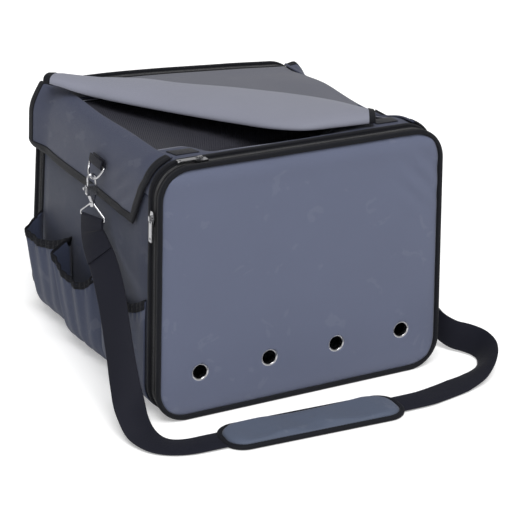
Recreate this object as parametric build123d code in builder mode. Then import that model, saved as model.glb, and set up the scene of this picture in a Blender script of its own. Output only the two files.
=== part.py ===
# Pet car seat bag: a zip-around soft carrier with a mesh roof, a folded cover flap,
# side pockets and a shoulder strap, clipped to D-rings and lying in front of the bag.
# Units are millimetres. The bag faces -Y, +X is its left-hand side as it looks at you,
# and the floor is at z = 0. The origin lies on the floor under the middle of the bag.
from build123d import *
import math
import os

# Overall sizes
bag_width = 400
bag_depth = 432
bag_height = 325
top_draw_in = 8
back_lean = 40
corner_radius = 42

# Layers of the zip band at each end, from the outer face inwards
piping_width = 7
piping_thickness = 6.5
piping_rounding = 2.2
rounding_steps = 2
door_tape_end = 13.5
door_coil_end = 15.6
coil_gap = 0.3
coil_width = 2.1
body_tape_width = 6.5
tape_inset = 3.0
tape_thickness = 1.4
coil_inset = 2.0
coil_thickness = 3.0

# Walls
wall = 3.5
wall_inset = 1.5
door_panel_front = 1.5
door_panel_thickness = 4.7
sewing_gap = 0.3

# Roof, window and mesh
roof_drop = 42
window_half_width = 164
window_front = -146
window_back = 86
hem_width = 6
hem_thickness = 3.0
hem_top_drop = 4.2
mesh_thickness = 1.0
patch_width = 30
patch_length = 18
patch_thickness = 1.6
patch_x = 135

# Saddle flaps over the sides
saddle_thickness = 2.7
saddle_bottom = 230
saddle_front_y = -144
saddle_shoulder = 300
saddle_binding = 13
binding_extra = 0.9

# Side pockets, from the back to the front
pocket_thickness = 1.6
pocket_foot = 8
pocket_back_y = 163
pocket_front_y = -180
pocket_seams_y = [52, -50]
pocket_bulges = [21, 17, 12]
pocket_tops = [150, 148, 152]
pocket_sags = [26, 30, 24]
pocket_binding = 12

# Floor board and cushion
board_side_gap = 3
board_end_gap = 9.5
board_thickness = 4
cushion_side_gap = 35
cushion_end_gap = 14.5
cushion_thickness = 28
cushion_crown = 6

# Vent eyelets in the front panel
eyelet_spacing = 93.5
eyelet_count = 4
eyelet_height = 61
eyelet_hole = 18.5
eyelet_barrel = 0.6
eyelet_flange = 28
eyelet_flange_thickness = 1.3
eyelet_fit = 0.1

# Cover flap, folded diagonally back over the roof
flap_thickness = 4.5
flap_hinge_y = 142
flap_right_margin = 6
flap_left_margin = 14
flap_roll_height = 13
flap_end_binding = 9
flap_clearance = 0.3

# Zip sliders and pulls
slider_length = 17
slider_width = 11.5
slider_thickness = 2
slider_clearance = 0.4
slider_side_gap = 0.3
slider_lip = 1.2
lip_drop = 0.7
bail_span = 4.4
bail_height = 2.6
bail_wire = 1.2
bail_width = 3
pull_length = 30
pull_width = 8
pull_thickness = 1.4
pull_bar = 1.6
pull_window = 5
pull_hole = 3
side_slider_height = 262
back_slider_height = 196
top_slider_x = -132

# D-rings and their webbing tabs
webbing_width = 38
webbing_thickness = 2
ring_wire = 3
ring_half_width = 22
ring_depth = 18
ring_base = 15
ring_corner = 1.8
ring_round = 18
ring_fit = 0.3
ring_y = -52
ring_bar_height = 283
tab_top = 292

# Swivel snap hooks
hook_wire = 3
hook_side_gap = 4
bow_radius = 5.2
bow_leg = 4
bow_slack = 0.8
bolt_diameter = 2.6
bolt_fit = 0.3
bolt_travel = 4.5
bolt_bite = 5.2
knob_diameter = 2.6
knob_reach = 4.6
knob_rise = 0.6
knob_cap = 3.8
knob_cap_height = 1.6
hook_mouth = 4.4
hook_body_height = 12.6
hook_body_depth = 6.4
hook_body_wall = 1.1
hook_body_round = 1.4
hook_neck_height = 9.6
hook_neck = 5.6
swivel_post = 3.6
swivel_fit = 0.3
swivel_head = 5.6
swivel_head_height = 1.6
eye_wire = 2.4
eye_collar = 7.2
eye_collar_height = 3.4
eye_drop = 19.4
eye_shoulder = 5
eye_half_width = 21.4
eye_turn = 20

# Shoulder strap, pad and adjuster
strap_sections = 64
strap_fold_fit = 0.3
pad_length = 240
pad_width = 64
pad_corner = 27
pad_edge_thickness = 5
pad_thickness = 10
pad_binding = 7
pad_x = -27
pad_y = -290.4
pad_turn = -3.1
pad_floor_gap = 0.2
pad_sole = 1.4
slot_fit = 0.6
adjuster_wire = 2
adjuster_rail = 3.2
adjuster_length = 22
adjuster_fit = 0.9
adjuster_place = 0.94

# Values worked out from those above
lean = math.atan2(back_lean, bag_height)
body_coil_start = door_coil_end + coil_gap
body_coil_end = body_coil_start + coil_width
body_tape_end = body_coil_end + body_tape_width
band_depth = body_tape_end + piping_width
half_depth = bag_depth / 2
saddle_inset = -sewing_gap
roof_floor = bag_height - roof_drop
board_half_width = bag_width / 2 - corner_radius - board_side_gap
board_length = 2 * (half_depth - band_depth - board_end_gap)
cushion_width = bag_width - 2 * cushion_side_gap
cushion_length = 2 * (half_depth - band_depth - cushion_end_gap)
flap_right_x = window_half_width - flap_right_margin
flap_left_x = flap_left_margin - window_half_width

os.makedirs("parts", exist_ok=True)


def half_width(z, inset=0):
    return bag_width / 2 - top_draw_in * z / bag_height - inset


def end_plane(end, depth):
    # a plane parallel to the front or the leaning back face, depth inside it
    if end == "front":
        return Plane(origin=(0, depth - half_depth, 0), x_dir=(1, 0, 0), z_dir=(0, -1, 0))
    outward = Vector(0, math.cos(lean), math.sin(lean))
    return Plane(origin=Vector(0, half_depth, 0) - outward * depth, x_dir=(-1, 0, 0), z_dir=outward)


def end_height(end, depth, z):
    # the height z measured along an end plane
    if end == "front":
        return z
    return (z + depth * math.sin(lean)) / math.cos(lean)


def outline(end, depth, inset):
    # the rounded end outline, drawn in by inset
    low = end_height(end, depth, inset)
    high = end_height(end, depth, bag_height - inset)
    foot = half_width(inset, inset)
    head = half_width(bag_height - inset, inset)
    with BuildSketch(end_plane(end, depth)) as shape:
        with BuildLine():
            Polyline((-foot, low), (foot, low), (head, high), (-head, high), close=True)
        make_face()
        fillet(shape.vertices(), corner_radius - inset)
    return shape.sketch


def band_ring(end, start, stop, inset, thickness, rounding=0):
    # one closed layer of the band round an end, between two depths
    stations = [(start, 0), (stop, 0)]
    if rounding:
        turns = [math.radians(90 * k / rounding_steps) for k in range(rounding_steps + 1)]
        rounds = [(rounding * (1 - math.cos(a)), rounding * (1 - math.sin(a))) for a in turns]
        stations = [(start + deep, drawn) for deep, drawn in rounds]
        stations += [(stop - deep, drawn) for deep, drawn in reversed(rounds)]
    with BuildPart() as ring:
        for depth, drawn in stations:
            add(outline(end, depth, inset + drawn))
        loft(ruled=True)
        for depth in (start, stop):
            add(outline(end, depth, inset + thickness))
        loft(ruled=True, mode=Mode.SUBTRACT)
    return ring.part


def plate(end, start, stop, inset):
    # the solid between two depths inside one outline
    with BuildPart() as slab:
        for depth in (start, stop):
            add(outline(end, depth, inset))
        loft(ruled=True)
    return slab.part


def sleeve(inset, thickness, front_depth, back_depth):
    # the four walls as one straight tube, cut off along the leaning back
    with BuildPart() as tube:
        extrude(outline("front", front_depth, inset), amount=-bag_depth)
        extrude(outline("front", front_depth, inset + thickness), amount=-bag_depth, mode=Mode.SUBTRACT)
        split(bisect_by=end_plane("back", back_depth), keep=Keep.BOTTOM)
    return tube.part


def save(part, name):
    part.label = name
    export_step(part, f"parts/{name}.step")


def mirrored(part):
    # the same piece on the other side of the bag
    with BuildPart() as twin:
        add(part)
        mirror(about=Plane.YZ, mode=Mode.REPLACE)
    return twin.part


def save_pair(part, name):
    # name the modelled piece for the left of the picture, and mirror it to the right
    save(part, f"left_{name}")
    save(mirrored(part), f"right_{name}")


# Body walls
body_tube = sleeve(wall_inset, wall, band_depth, band_depth)
side_edge = bag_width / 2 - corner_radius
big = 2 * bag_depth

with BuildPart() as side_panel:
    add(body_tube)
    with Locations((-side_edge - big / 2, 0, roof_floor - big / 2)):
        Box(big, big, big, mode=Mode.INTERSECT)
save_pair(side_panel.part, "side_panel")

with BuildPart() as bottom_panel:
    add(body_tube)
    with Locations((0, 0, roof_floor - big / 2)):
        Box(2 * side_edge, big, big, mode=Mode.INTERSECT)
save(bottom_panel.part, "bottom_panel")

window_length = window_back - window_front
window_middle = (window_back + window_front) / 2
with BuildPart() as roof_panel:
    add(body_tube)
    with Locations((0, 0, roof_floor + big / 2)):
        Box(big, big, big, mode=Mode.INTERSECT)
    with Locations((0, window_middle, bag_height)):
        Box(2 * window_half_width, window_length, roof_drop, mode=Mode.SUBTRACT)
save(roof_panel.part, "roof_panel")

# Window hem and mesh
hem_outer = (2 * (window_half_width - sewing_gap), window_length - 2 * sewing_gap)
hem_top = bag_height - hem_top_drop
with BuildPart() as window_hem:
    with BuildSketch(Plane.XY.offset(hem_top - hem_thickness)):
        with Locations((0, window_middle)):
            Rectangle(*hem_outer)
            Rectangle(hem_outer[0] - 2 * hem_width, hem_outer[1] - 2 * hem_width, mode=Mode.SUBTRACT)
    extrude(amount=hem_thickness)
save(window_hem.part, "window_hem")

with BuildPart() as mesh_window:
    with BuildSketch(Plane.XY.offset(hem_top - (hem_thickness + mesh_thickness) / 2)):
        with Locations((0, window_middle)):
            Rectangle(hem_outer[0] - 2 * hem_width, hem_outer[1] - 2 * hem_width)
    extrude(amount=mesh_thickness)
save(mesh_window.part, "mesh_window")

roof_top = bag_height - wall_inset
front_border_middle = (window_front - half_depth + band_depth) / 2
with BuildPart() as velcro_patches:
    with BuildSketch(Plane.XY.offset(roof_top)):
        with Locations((-patch_x, front_border_middle), (patch_x, front_border_middle)):
            RectangleRounded(patch_width, patch_length, 2)
    extrude(amount=patch_thickness)
save(velcro_patches.part, "velcro_patches")

# Zip bands, pipings and end panels
for end in ["front", "back"]:
    save(band_ring(end, 0, piping_width, 0, piping_thickness, piping_rounding), f"{end}_door_piping")
    save(
        band_ring(end, piping_width, door_tape_end, tape_inset, tape_thickness),
        f"{end}_door_zip_tape",
    )
    save(
        band_ring(end, door_tape_end, door_coil_end, coil_inset, coil_thickness),
        f"{end}_door_zip_coil",
    )
    save(
        band_ring(end, body_coil_start, body_coil_end, coil_inset, coil_thickness),
        f"{end}_body_zip_coil",
    )
    save(
        band_ring(end, body_coil_end, body_tape_end, tape_inset, tape_thickness),
        f"{end}_body_zip_tape",
    )
    save(
        band_ring(end, body_tape_end, band_depth, 0, piping_thickness, piping_rounding),
        f"{end}_body_piping",
    )

panel_back = door_panel_front + door_panel_thickness
eyelet_outer = eyelet_hole + 2 * eyelet_barrel
eyelet_row = [(i - (eyelet_count - 1) / 2) * eyelet_spacing for i in range(eyelet_count)]
with BuildPart() as front_door_panel:
    add(plate("front", door_panel_front, panel_back, piping_thickness))
    with BuildSketch(end_plane("front", panel_back)):
        with Locations([(x, eyelet_height) for x in eyelet_row]):
            Circle(eyelet_outer / 2 + eyelet_fit)
    extrude(amount=door_panel_thickness, mode=Mode.SUBTRACT)
save(front_door_panel.part, "front_door_panel")

with BuildPart() as back_door_panel:
    add(plate("back", door_panel_front, panel_back, piping_thickness))
save(back_door_panel.part, "back_door_panel")

# Eyelets: a domed flange and barrel outside, a flat washer inside
eyelet_plane = end_plane("front", door_panel_front)
with BuildPart() as eyelet:
    with BuildSketch(Plane.XZ):
        with BuildLine():
            hole = eyelet_hole / 2
            rim = eyelet_flange / 2
            barrel = eyelet_outer / 2
            depth = door_panel_thickness + eyelet_flange_thickness
            Line((hole, 0.4), (hole, -depth))
            Line((hole, -depth), (barrel, -depth))
            Line((barrel, -depth), (barrel, 0))
            Line((barrel, 0), (rim, 0))
            ThreePointArc((rim, 0), ((hole + rim) / 2, eyelet_flange_thickness), (hole, 0.4))
        make_face()
    revolve(axis=Axis.Z)

with BuildPart() as eyelets:
    for x in eyelet_row:
        seat = Plane(origin=(x, eyelet_plane.origin.Y, eyelet_height), x_dir=(1, 0, 0), z_dir=(0, -1, 0))
        add(seat * eyelet.part)
save(eyelets.part, "eyelets")

with BuildPart() as eyelet_washers:
    with BuildSketch(end_plane("front", panel_back + 1)):
        with Locations([(x, eyelet_height) for x in eyelet_row]):
            Circle(eyelet_flange / 2)
            Circle(eyelet_outer / 2 + eyelet_fit, mode=Mode.SUBTRACT)
    extrude(amount=1)
save(eyelet_washers.part, "eyelet_washers")

# Floor board and cushion
floor_inside = wall_inset + wall
with BuildPart() as base_board:
    with BuildSketch(Plane.XY.offset(floor_inside)):
        RectangleRounded(2 * board_half_width, board_length, 12)
    extrude(amount=board_thickness)
save(base_board.part, "base_board")

cushion_floor = floor_inside + board_thickness
with BuildPart() as floor_cushion:
    for height, drawn in [(0, 8), (cushion_thickness / 2, 0), (cushion_thickness, 10)]:
        with BuildSketch(Plane.XY.offset(cushion_floor + height)):
            RectangleRounded(cushion_width - 2 * drawn, cushion_length - 2 * drawn, 24 - drawn)
    loft(ruled=True)
    with BuildSketch(Plane.XY.offset(cushion_floor + cushion_thickness)):
        RectangleRounded(cushion_width - 20, cushion_length - 20, 14)
    with BuildSketch(Plane.XY.offset(cushion_floor + cushion_thickness + cushion_crown)):
        RectangleRounded(cushion_width - 110, cushion_length - 110, 14)
    loft(ruled=True)
save(floor_cushion.part, "floor_cushion")

# Saddle flaps: the roof cloth that drops over each side
saddle_outer_depth = piping_width
saddle_tube = sleeve(saddle_inset - saddle_thickness, saddle_thickness, band_depth + sewing_gap, saddle_outer_depth)
thick_tube = sleeve(
    saddle_inset - saddle_thickness - binding_extra,
    saddle_thickness + binding_extra,
    band_depth + sewing_gap,
    saddle_outer_depth,
)


def back_y(z, depth):
    # the y of the leaning plane depth inside the back face, at height z
    return half_depth - depth / math.cos(lean) - z * math.tan(lean)


saddle_front_top = band_depth + sewing_gap - half_depth
saddle_top = bag_height + 3 * saddle_thickness
rim_clear = band_depth + sewing_gap


def saddle_profile(margin):
    # the side view of a saddle flap, drawn in by margin along its free edges
    with BuildSketch(Plane.YZ) as shape:
        with BuildLine():
            Polyline(
                (saddle_front_top, saddle_top),
                (saddle_front_top, saddle_shoulder + margin),
                (saddle_front_y + margin * 0.6, saddle_bottom + margin),
                (back_y(saddle_bottom, saddle_outer_depth) - margin, saddle_bottom + margin),
                (back_y(roof_floor, saddle_outer_depth) - margin, roof_floor),
                (back_y(roof_floor, rim_clear), roof_floor + 8),
                (back_y(saddle_top, rim_clear), saddle_top),
                close=True,
            )
        make_face()
    return shape.sketch


with BuildPart() as saddle_block:
    extrude(saddle_profile(saddle_binding), amount=-big)
with BuildPart() as saddle_full:
    extrude(saddle_profile(0), amount=-big)
with BuildPart() as saddle_flap:
    add(saddle_tube)
    add(saddle_block.part, mode=Mode.INTERSECT)
    with Locations((-window_half_width - big / 2, 0, 0)):
        Box(big, big, big, mode=Mode.INTERSECT)
save_pair(saddle_flap.part, "saddle_flap")

with BuildPart() as saddle_edge:
    add(thick_tube)
    add(saddle_full.part, mode=Mode.INTERSECT)
    add(saddle_block.part, mode=Mode.SUBTRACT)
    with Locations((-window_half_width - big / 2, 0, 0)):
        Box(big, big, big, mode=Mode.INTERSECT)
save_pair(saddle_edge.part, "saddle_binding")


# Side pockets: one gathered sheet, sewn down between three pouches
def pocket_strip(height, spread, thickness, skin=0):
    # the plan of the pocket sheet at one height, each pouch an arc between two seams
    seams = [pocket_back_y, *pocket_seams_y, pocket_front_y]
    base = -half_width(height, wall_inset) - sewing_gap * spread
    with BuildSketch(Plane.XY.offset(height)) as plan:
        with BuildLine():
            for k in range(len(pocket_bulges)):
                near, far = seams[k], seams[k + 1]
                bulge = 1 + pocket_bulges[k] * spread
                ThreePointArc((base, near), (base - bulge, (near + far) / 2), (base, far))
            rim = base - thickness - skin
            Line((base, seams[-1]), (rim, seams[-1]))
            for k in reversed(range(len(pocket_bulges))):
                near, far = seams[k], seams[k + 1]
                bulge = 1 + pocket_bulges[k] * spread
                ThreePointArc((rim, far), (rim - bulge, (near + far) / 2), (rim, near))
            Line((rim, seams[0]), (base, seams[0]))
        make_face()
    return plan.sketch


def pocket_sheet(skin):
    # the sheet from foot to mouth
    top = max(pocket_tops)
    with BuildPart() as sheet:
        add(pocket_strip(pocket_foot + corner_radius / 2, 0.25, pocket_thickness, skin))
        add(pocket_strip(top, 1, pocket_thickness, skin))
        loft(ruled=True)
    return sheet.part


def mouth_profile(drop):
    # everything above the sagging mouths, lowered by drop
    seams = [pocket_back_y + 5, *pocket_seams_y, pocket_front_y - 5]
    with BuildSketch(Plane.YZ) as shape:
        with BuildLine():
            for k in range(len(pocket_tops)):
                near, far = seams[k], seams[k + 1]
                low = pocket_tops[k] - pocket_sags[k] - drop
                ThreePointArc((near, pocket_tops[k] - drop), ((near + far) / 2, low), (far, pocket_tops[k] - drop))
                if k + 1 < len(pocket_tops):
                    Line((far, pocket_tops[k] - drop), (far, pocket_tops[k + 1] - drop))
            Line((seams[-1], pocket_tops[-1] - drop), (seams[-1], bag_height))
            Line((seams[-1], bag_height), (seams[0], bag_height))
            Line((seams[0], bag_height), (seams[0], pocket_tops[0] - drop))
        make_face()
    return shape.sketch


def pocket_pieces():
    # the gathered sheet below its mouths, and the elastic binding along them
    with BuildPart() as gone:
        extrude(mouth_profile(0), amount=-big)
    with BuildPart() as bound:
        extrude(mouth_profile(pocket_binding), amount=-big)
    with BuildPart() as sheet:
        add(pocket_sheet(0))
        add(bound.part, mode=Mode.SUBTRACT)
    with BuildPart() as elastic:
        add(pocket_sheet(binding_extra))
        add(bound.part, mode=Mode.INTERSECT)
        add(gone.part, mode=Mode.SUBTRACT)
    return sheet.part, elastic.part


pocket_panel, pocket_elastic = pocket_pieces()
save_pair(pocket_panel, "pocket_panel")
save_pair(pocket_elastic, "pocket_binding")

# Cover flap: a flat part sewn along the back of the roof, and the part folded over it
flap_floor = roof_top + flap_clearance
roll_floor = flap_floor + flap_thickness
ridge_left = (-158, 138)
ridge_right = (124, -140)
tip_left = (-188, 104)
tip_right = (112, -180)
slack_middle = (-62, -88)
flap_front_points = [(flap_right_x, -60), (128, -118), (100, -150), (flap_left_x, 90)]


def roll_plan(grow):
    # the plan of the folded part: a straight ridge, two bound ends and a slack front
    with BuildSketch(mode=Mode.PRIVATE) as plan:
        with BuildLine():
            back_left = (ridge_left[0] - grow, ridge_left[1] + grow)
            back_right = (ridge_right[0] + grow, ridge_right[1] + grow)
            front_left = (tip_left[0] - grow, tip_left[1])
            front_right = (tip_right[0] + grow, tip_right[1] - grow)
            belly = (slack_middle[0] - grow * 0.7, slack_middle[1] - grow * 0.7)
            Line(back_left, back_right)
            Line(back_right, front_right)
            ThreePointArc(front_right, belly, front_left)
            Line(front_left, back_left)
        make_face()
    return plan.sketch


def flap_end_strips():
    # tall blocks over the bound ends of the folded part
    with BuildPart() as strips:
        for low, high in [(tip_left, ridge_left), (ridge_right, tip_right)]:
            along = Vector(*high) - Vector(*low)
            middle = (Vector(*high) + Vector(*low)) / 2
            inward = Vector(along.Y, -along.X).normalized()
            turn = math.degrees(math.atan2(along.Y, along.X))
            reach = flap_end_binding + 20
            center = middle + inward * (flap_end_binding - reach / 2)
            with BuildSketch(Plane.XY.offset(roll_floor)):
                with Locations(Location((center.X, center.Y), turn)):
                    Rectangle(3 * along.length, reach)
            extrude(amount=2 * flap_roll_height)
    return strips.part


with BuildPart() as flap_roll:
    for height, grow in [(0, -8), (flap_roll_height * 0.4, 0), (flap_roll_height, -12)]:
        with BuildSketch(Plane.XY.offset(roll_floor + height)):
            add(roll_plan(grow))
    loft(ruled=True)

with BuildPart() as cover_flap:
    add(flap_roll.part)
    add(flap_end_strips(), mode=Mode.SUBTRACT)
    with BuildSketch(Plane.XY.offset(flap_floor)):
        with BuildLine():
            Polyline((flap_left_x, flap_hinge_y), (flap_right_x, flap_hinge_y), *flap_front_points, close=True)
        make_face()
    extrude(amount=flap_thickness)
save(cover_flap.part, "cover_flap")

with BuildPart() as flap_binding:
    add(flap_roll.part)
    add(flap_end_strips(), mode=Mode.INTERSECT)
save(flap_binding.part, "cover_flap_binding")

# Zip sliders, in a frame of their own: X along the zip, Z outwards, the coil's top at 0
coil_middle = (door_coil_end + body_coil_start) / 2
chain_half = coil_width + coil_gap / 2
plate_top = slider_clearance + slider_thickness
bar_height = plate_top + bail_height / 2 - 0.1


def slider_shape(body_side):
    # the top plate, its lip over the body half of the zip, and the bail for the pull
    with BuildPart() as slider:
        with BuildSketch(Plane.XY.offset(slider_clearance)):
            with BuildLine():
                nose = slider_length / 2
                broad = slider_width / 2
                Polyline(
                    (-nose, -broad * 0.55),
                    (0, -broad),
                    (nose, -broad * 0.8),
                    (nose, broad * 0.8),
                    (0, broad),
                    (-nose, broad * 0.55),
                    close=True,
                )
            make_face()
        extrude(amount=slider_thickness)
        lip_middle = body_side * (chain_half + slider_side_gap + slider_lip / 2)
        lip_height = slider_clearance + lip_drop
        with Locations((0, lip_middle, slider_clearance - lip_height / 2)):
            Box(slider_length * 0.8, slider_lip, lip_height)
        outer = bail_span + 2 * bail_wire
        with Locations((0, 0, plate_top + (bail_height + bail_wire) / 2)):
            Box(outer, bail_width, bail_height + bail_wire)
        with Locations((0, 0, plate_top + bail_height / 2)):
            Box(bail_span, bail_width, bail_height, mode=Mode.SUBTRACT)
        fillet(slider.edges().filter_by(Axis.Y).sort_by(Axis.Z)[-2:], bail_wire * 0.8)
    return slider.part


def pull_shape(way):
    # a flat pull with a window that goes over the bail, and a finger hole
    with BuildPart() as pull:
        with BuildSketch(Plane.XY.offset(bar_height - pull_thickness / 2)):
            with Locations((way * (pull_length / 2 - pull_bar / 2), 0)):
                RectangleRounded(pull_length, pull_width, 1.5)
            with Locations((way * (pull_bar + pull_window) / 2, 0)):
                Rectangle(pull_window, bail_width + 1, mode=Mode.SUBTRACT)
            with Locations((way * (pull_length - pull_width / 2 - 1), 0)):
                Circle(pull_hole / 2, mode=Mode.SUBTRACT)
        extrude(amount=pull_thickness)
    return pull.part


def side_zip_plane(end, side, height):
    # a slider's frame on the straight upright run of a zip, X pointing down
    depth = coil_middle
    if end == "front":
        y, run = depth - half_depth, 0
    else:
        y, run = back_y(height, depth), math.tan(lean)
    slope = top_draw_in / bag_height
    origin = (side * half_width(height, coil_inset), y, height)
    return Plane(origin=origin, x_dir=(side * slope, run, -1), z_dir=(side, 0, slope))


side_zip = side_zip_plane("front", -1, side_slider_height)
save(side_zip * slider_shape(-1), "front_side_slider")
save(side_zip * pull_shape(1), "front_side_pull")

top_zip = Plane(origin=(top_slider_x, coil_middle - half_depth, bag_height - coil_inset))
save(top_zip * slider_shape(1), "front_top_slider")
save(top_zip * pull_shape(-1), "front_top_pull")

back_zip = side_zip_plane("back", 1, back_slider_height)
save(back_zip * slider_shape(-1), "back_slider")
save(back_zip * pull_shape(1), "back_pull")

# Webbing tab and D-ring on the left saddle flap, the ring leaning out with the hook in it
loop_inner = ring_wire / 2 + ring_fit
loop_outer = loop_inner + webbing_thickness
saddle_face = half_width(ring_bar_height, saddle_inset - saddle_thickness)
bar_x = -(saddle_face + sewing_gap + loop_outer)
hook_reach = bow_radius + hook_wire / 2
hook_x = -(half_width(saddle_bottom, saddle_inset - saddle_thickness) + hook_side_gap + hook_reach)
ring_tilt = math.asin((bar_x - hook_x) / ring_depth)
ring_bottom = ring_bar_height - ring_depth * math.cos(ring_tilt)
wall_lean = math.degrees(math.atan(top_draw_in / bag_height))

with BuildPart() as ring_tab:
    with BuildSketch(Plane.XZ.offset(-ring_y - webbing_width / 2)):
        with Locations(Location((bar_x, ring_bar_height), wall_lean)):
            Circle(loop_outer)
            with Locations((0, (tab_top - ring_bar_height) / 2)):
                Rectangle(2 * loop_outer, tab_top - ring_bar_height)
            Circle(loop_inner, mode=Mode.SUBTRACT)
    extrude(amount=webbing_width)
save_pair(ring_tab.part, "ring_tab")

outward = (math.cos(ring_tilt), 0, -math.sin(ring_tilt))
ring_plane = Plane(origin=(bar_x, ring_y, ring_bar_height), x_dir=(0, 1, 0), z_dir=outward)
ring_corners = [(-ring_half_width, 0), (ring_half_width, 0), (ring_base, -ring_depth), (-ring_base, -ring_depth)]
ring_radii = [ring_corner, ring_corner, ring_round, ring_round]
with BuildPart() as d_ring:
    with BuildLine(ring_plane) as ring_line:
        FilletPolyline(*ring_corners, radius=ring_radii, close=True)
    with BuildSketch(Plane(origin=ring_line.line @ 0, z_dir=ring_line.line % 0)):
        Circle(ring_wire / 2)
    sweep()
save_pair(d_ring.part, "d_ring")

# Snap hook on the left: bow, body with its bolt, and the swivel eye for the strap
bow_center = ring_bottom + ring_wire / 2 + bow_slack + hook_wire / 2 - bow_radius
bow_tip = bow_center - bow_leg
body_top = bow_tip - hook_mouth
body_bottom = body_top - hook_body_height
neck_bottom = body_bottom - hook_neck_height
bolt_top = bow_tip - bolt_fit
bolt_bottom = body_top - bolt_bite
bore_radius = bolt_diameter / 2 + bolt_fit
bolt_x = hook_x - bow_radius
leg_x = hook_x + bow_radius
body_left = bolt_x - bore_radius - hook_body_wall
body_right = leg_x + hook_wire / 2
knob_height = bolt_bottom + knob_diameter / 2 + knob_rise

hook_plane = Plane.XZ.offset(-ring_y)
with BuildPart() as hook_body:
    with BuildSketch(hook_plane):
        with Locations((body_left / 2 + body_right / 2, (body_top + body_bottom) / 2)):
            RectangleRounded(body_right - body_left, hook_body_height, hook_body_round)
    extrude(amount=hook_body_depth / 2, both=True)
    with BuildLine(hook_plane):
        Line((leg_x, body_top - 2), (leg_x, bow_center))
        ThreePointArc((leg_x, bow_center), (hook_x, bow_center + bow_radius), (bolt_x, bow_center))
        Line((bolt_x, bow_center), (bolt_x, bow_tip))
    with BuildSketch(Plane(origin=(leg_x, ring_y, body_top - 2))):
        Circle(hook_wire / 2)
    sweep()
    neck_top = Plane(origin=(hook_x, ring_y, body_bottom))
    neck_width = body_right - body_left - 2 * hook_body_round
    with BuildSketch(neck_top):
        with Locations(((body_left + body_right) / 2 - hook_x, 0)):
            RectangleRounded(neck_width, hook_body_depth, hook_body_depth / 2 - 0.1)
    with BuildSketch(neck_top.offset(-hook_neck_height)):
        RectangleRounded(hook_neck, hook_neck, hook_neck / 2 - 0.1)
    loft()
    post_length = eye_collar_height + 2 * swivel_fit
    with BuildSketch(neck_top.offset(-hook_neck_height)):
        Circle(swivel_post / 2)
    extrude(amount=-post_length)
    with BuildSketch(neck_top.offset(-hook_neck_height - post_length)):
        Circle(swivel_head / 2)
    extrude(amount=-swivel_head_height)
    with BuildSketch(Plane(origin=(bolt_x, ring_y, body_top))):
        Circle(bore_radius)
    extrude(amount=-(bolt_bite + bolt_travel + bolt_fit), mode=Mode.SUBTRACT)
    slot_top = body_top + 1
    slot_low = knob_height - bolt_travel - knob_diameter / 2 - bolt_fit
    with Locations((body_left, ring_y, (slot_top + slot_low) / 2)):
        slot_size = knob_diameter + 2 * bolt_fit
        Box(2 * (bolt_x - body_left), slot_size, slot_top - slot_low, mode=Mode.SUBTRACT)
save_pair(hook_body.part, "hook_body")

with BuildPart() as hook_bolt:
    with BuildSketch(Plane(origin=(bolt_x, ring_y, bolt_bottom))):
        Circle(bolt_diameter / 2)
    extrude(amount=bolt_top - bolt_bottom)
    with BuildSketch(Plane(origin=(bolt_x, ring_y, knob_height), z_dir=(-1, 0, 0))):
        Circle(knob_diameter / 2)
    extrude(amount=knob_reach)
    with BuildSketch(Plane(origin=(bolt_x - knob_reach, ring_y, knob_height), z_dir=(-1, 0, 0))):
        Circle(knob_cap / 2)
    extrude(amount=knob_cap_height)
save_pair(hook_bolt.part, "hook_bolt")

collar_top = neck_bottom - swivel_fit
collar_middle = collar_top - eye_collar_height / 2
eye_bar = collar_middle - eye_drop
with BuildPart() as hook_eye:
    with BuildSketch(Plane(origin=(hook_x, ring_y, collar_top))):
        Circle(eye_collar / 2)
    extrude(amount=-eye_collar_height)
    turn = math.radians(eye_turn)
    along = (-math.sin(turn), math.cos(turn), 0)
    side_view = Plane(origin=(hook_x, ring_y, 0), x_dir=along, z_dir=(math.cos(turn), math.sin(turn), 0))
    start = eye_collar / 2 - 1
    with BuildLine(side_view) as loop_line:
        FilletPolyline(
            (start, collar_middle),
            (eye_half_width, eye_bar + eye_shoulder),
            (eye_half_width, eye_bar),
            (-eye_half_width, eye_bar),
            (-eye_half_width, eye_bar + eye_shoulder),
            (-start, collar_middle),
            radius=2.4,
        )
    away = loop_line.line % 0
    with BuildSketch(Plane(origin=loop_line.line @ 0, z_dir=away)):
        Circle(eye_wire / 2)
    sweep()
    with BuildSketch(Plane(origin=(hook_x, ring_y, collar_top + 1))):
        Circle(swivel_post / 2 + swivel_fit)
    extrude(amount=-eye_collar_height - 2, mode=Mode.SUBTRACT)
save_pair(hook_eye.part, "hook_eye")

# Shoulder strap: flat webbing from one hook eye to the other, by way of the floor
strap_start = eye_bar - eye_wire / 2 - strap_fold_fit - webbing_thickness * 0.15
strap_route = [
    (hook_x, ring_y, strap_start),
    (-209.3, -52.5, 201),
    (-210, -58, 191),
    (-210.6, -71, 181),
    (-212.6, -90, 169.5),
    (-217, -113, 155),
    (-223, -138, 137),
    (-227.5, -161, 113),
    (-230, -184, 82),
    (-232, -204, 49),
    (-232, -222, 23),
    (-229.5, -241, 8),
    (-218, -266, 2.6),
    (-191, -281, 1.8),
    (-152, -283.6, 3.2),
    (116, -298.1, 3.2),
    (150, -291, 1.8),
    (186, -284, 2.4),
    (217, -277, 6),
    (243, -262, 13),
    (258, -241, 17),
    (261, -219, 19),
    (252, -201, 21),
    (237, -186, 23),
    (224, -166, 36),
    (218, -141, 64),
    (215.5, -114, 96),
    (212.5, -91, 128),
    (209.8, -67, 161),
    (209, -56, 184),
    (-hook_x, ring_y, strap_start),
]
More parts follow.
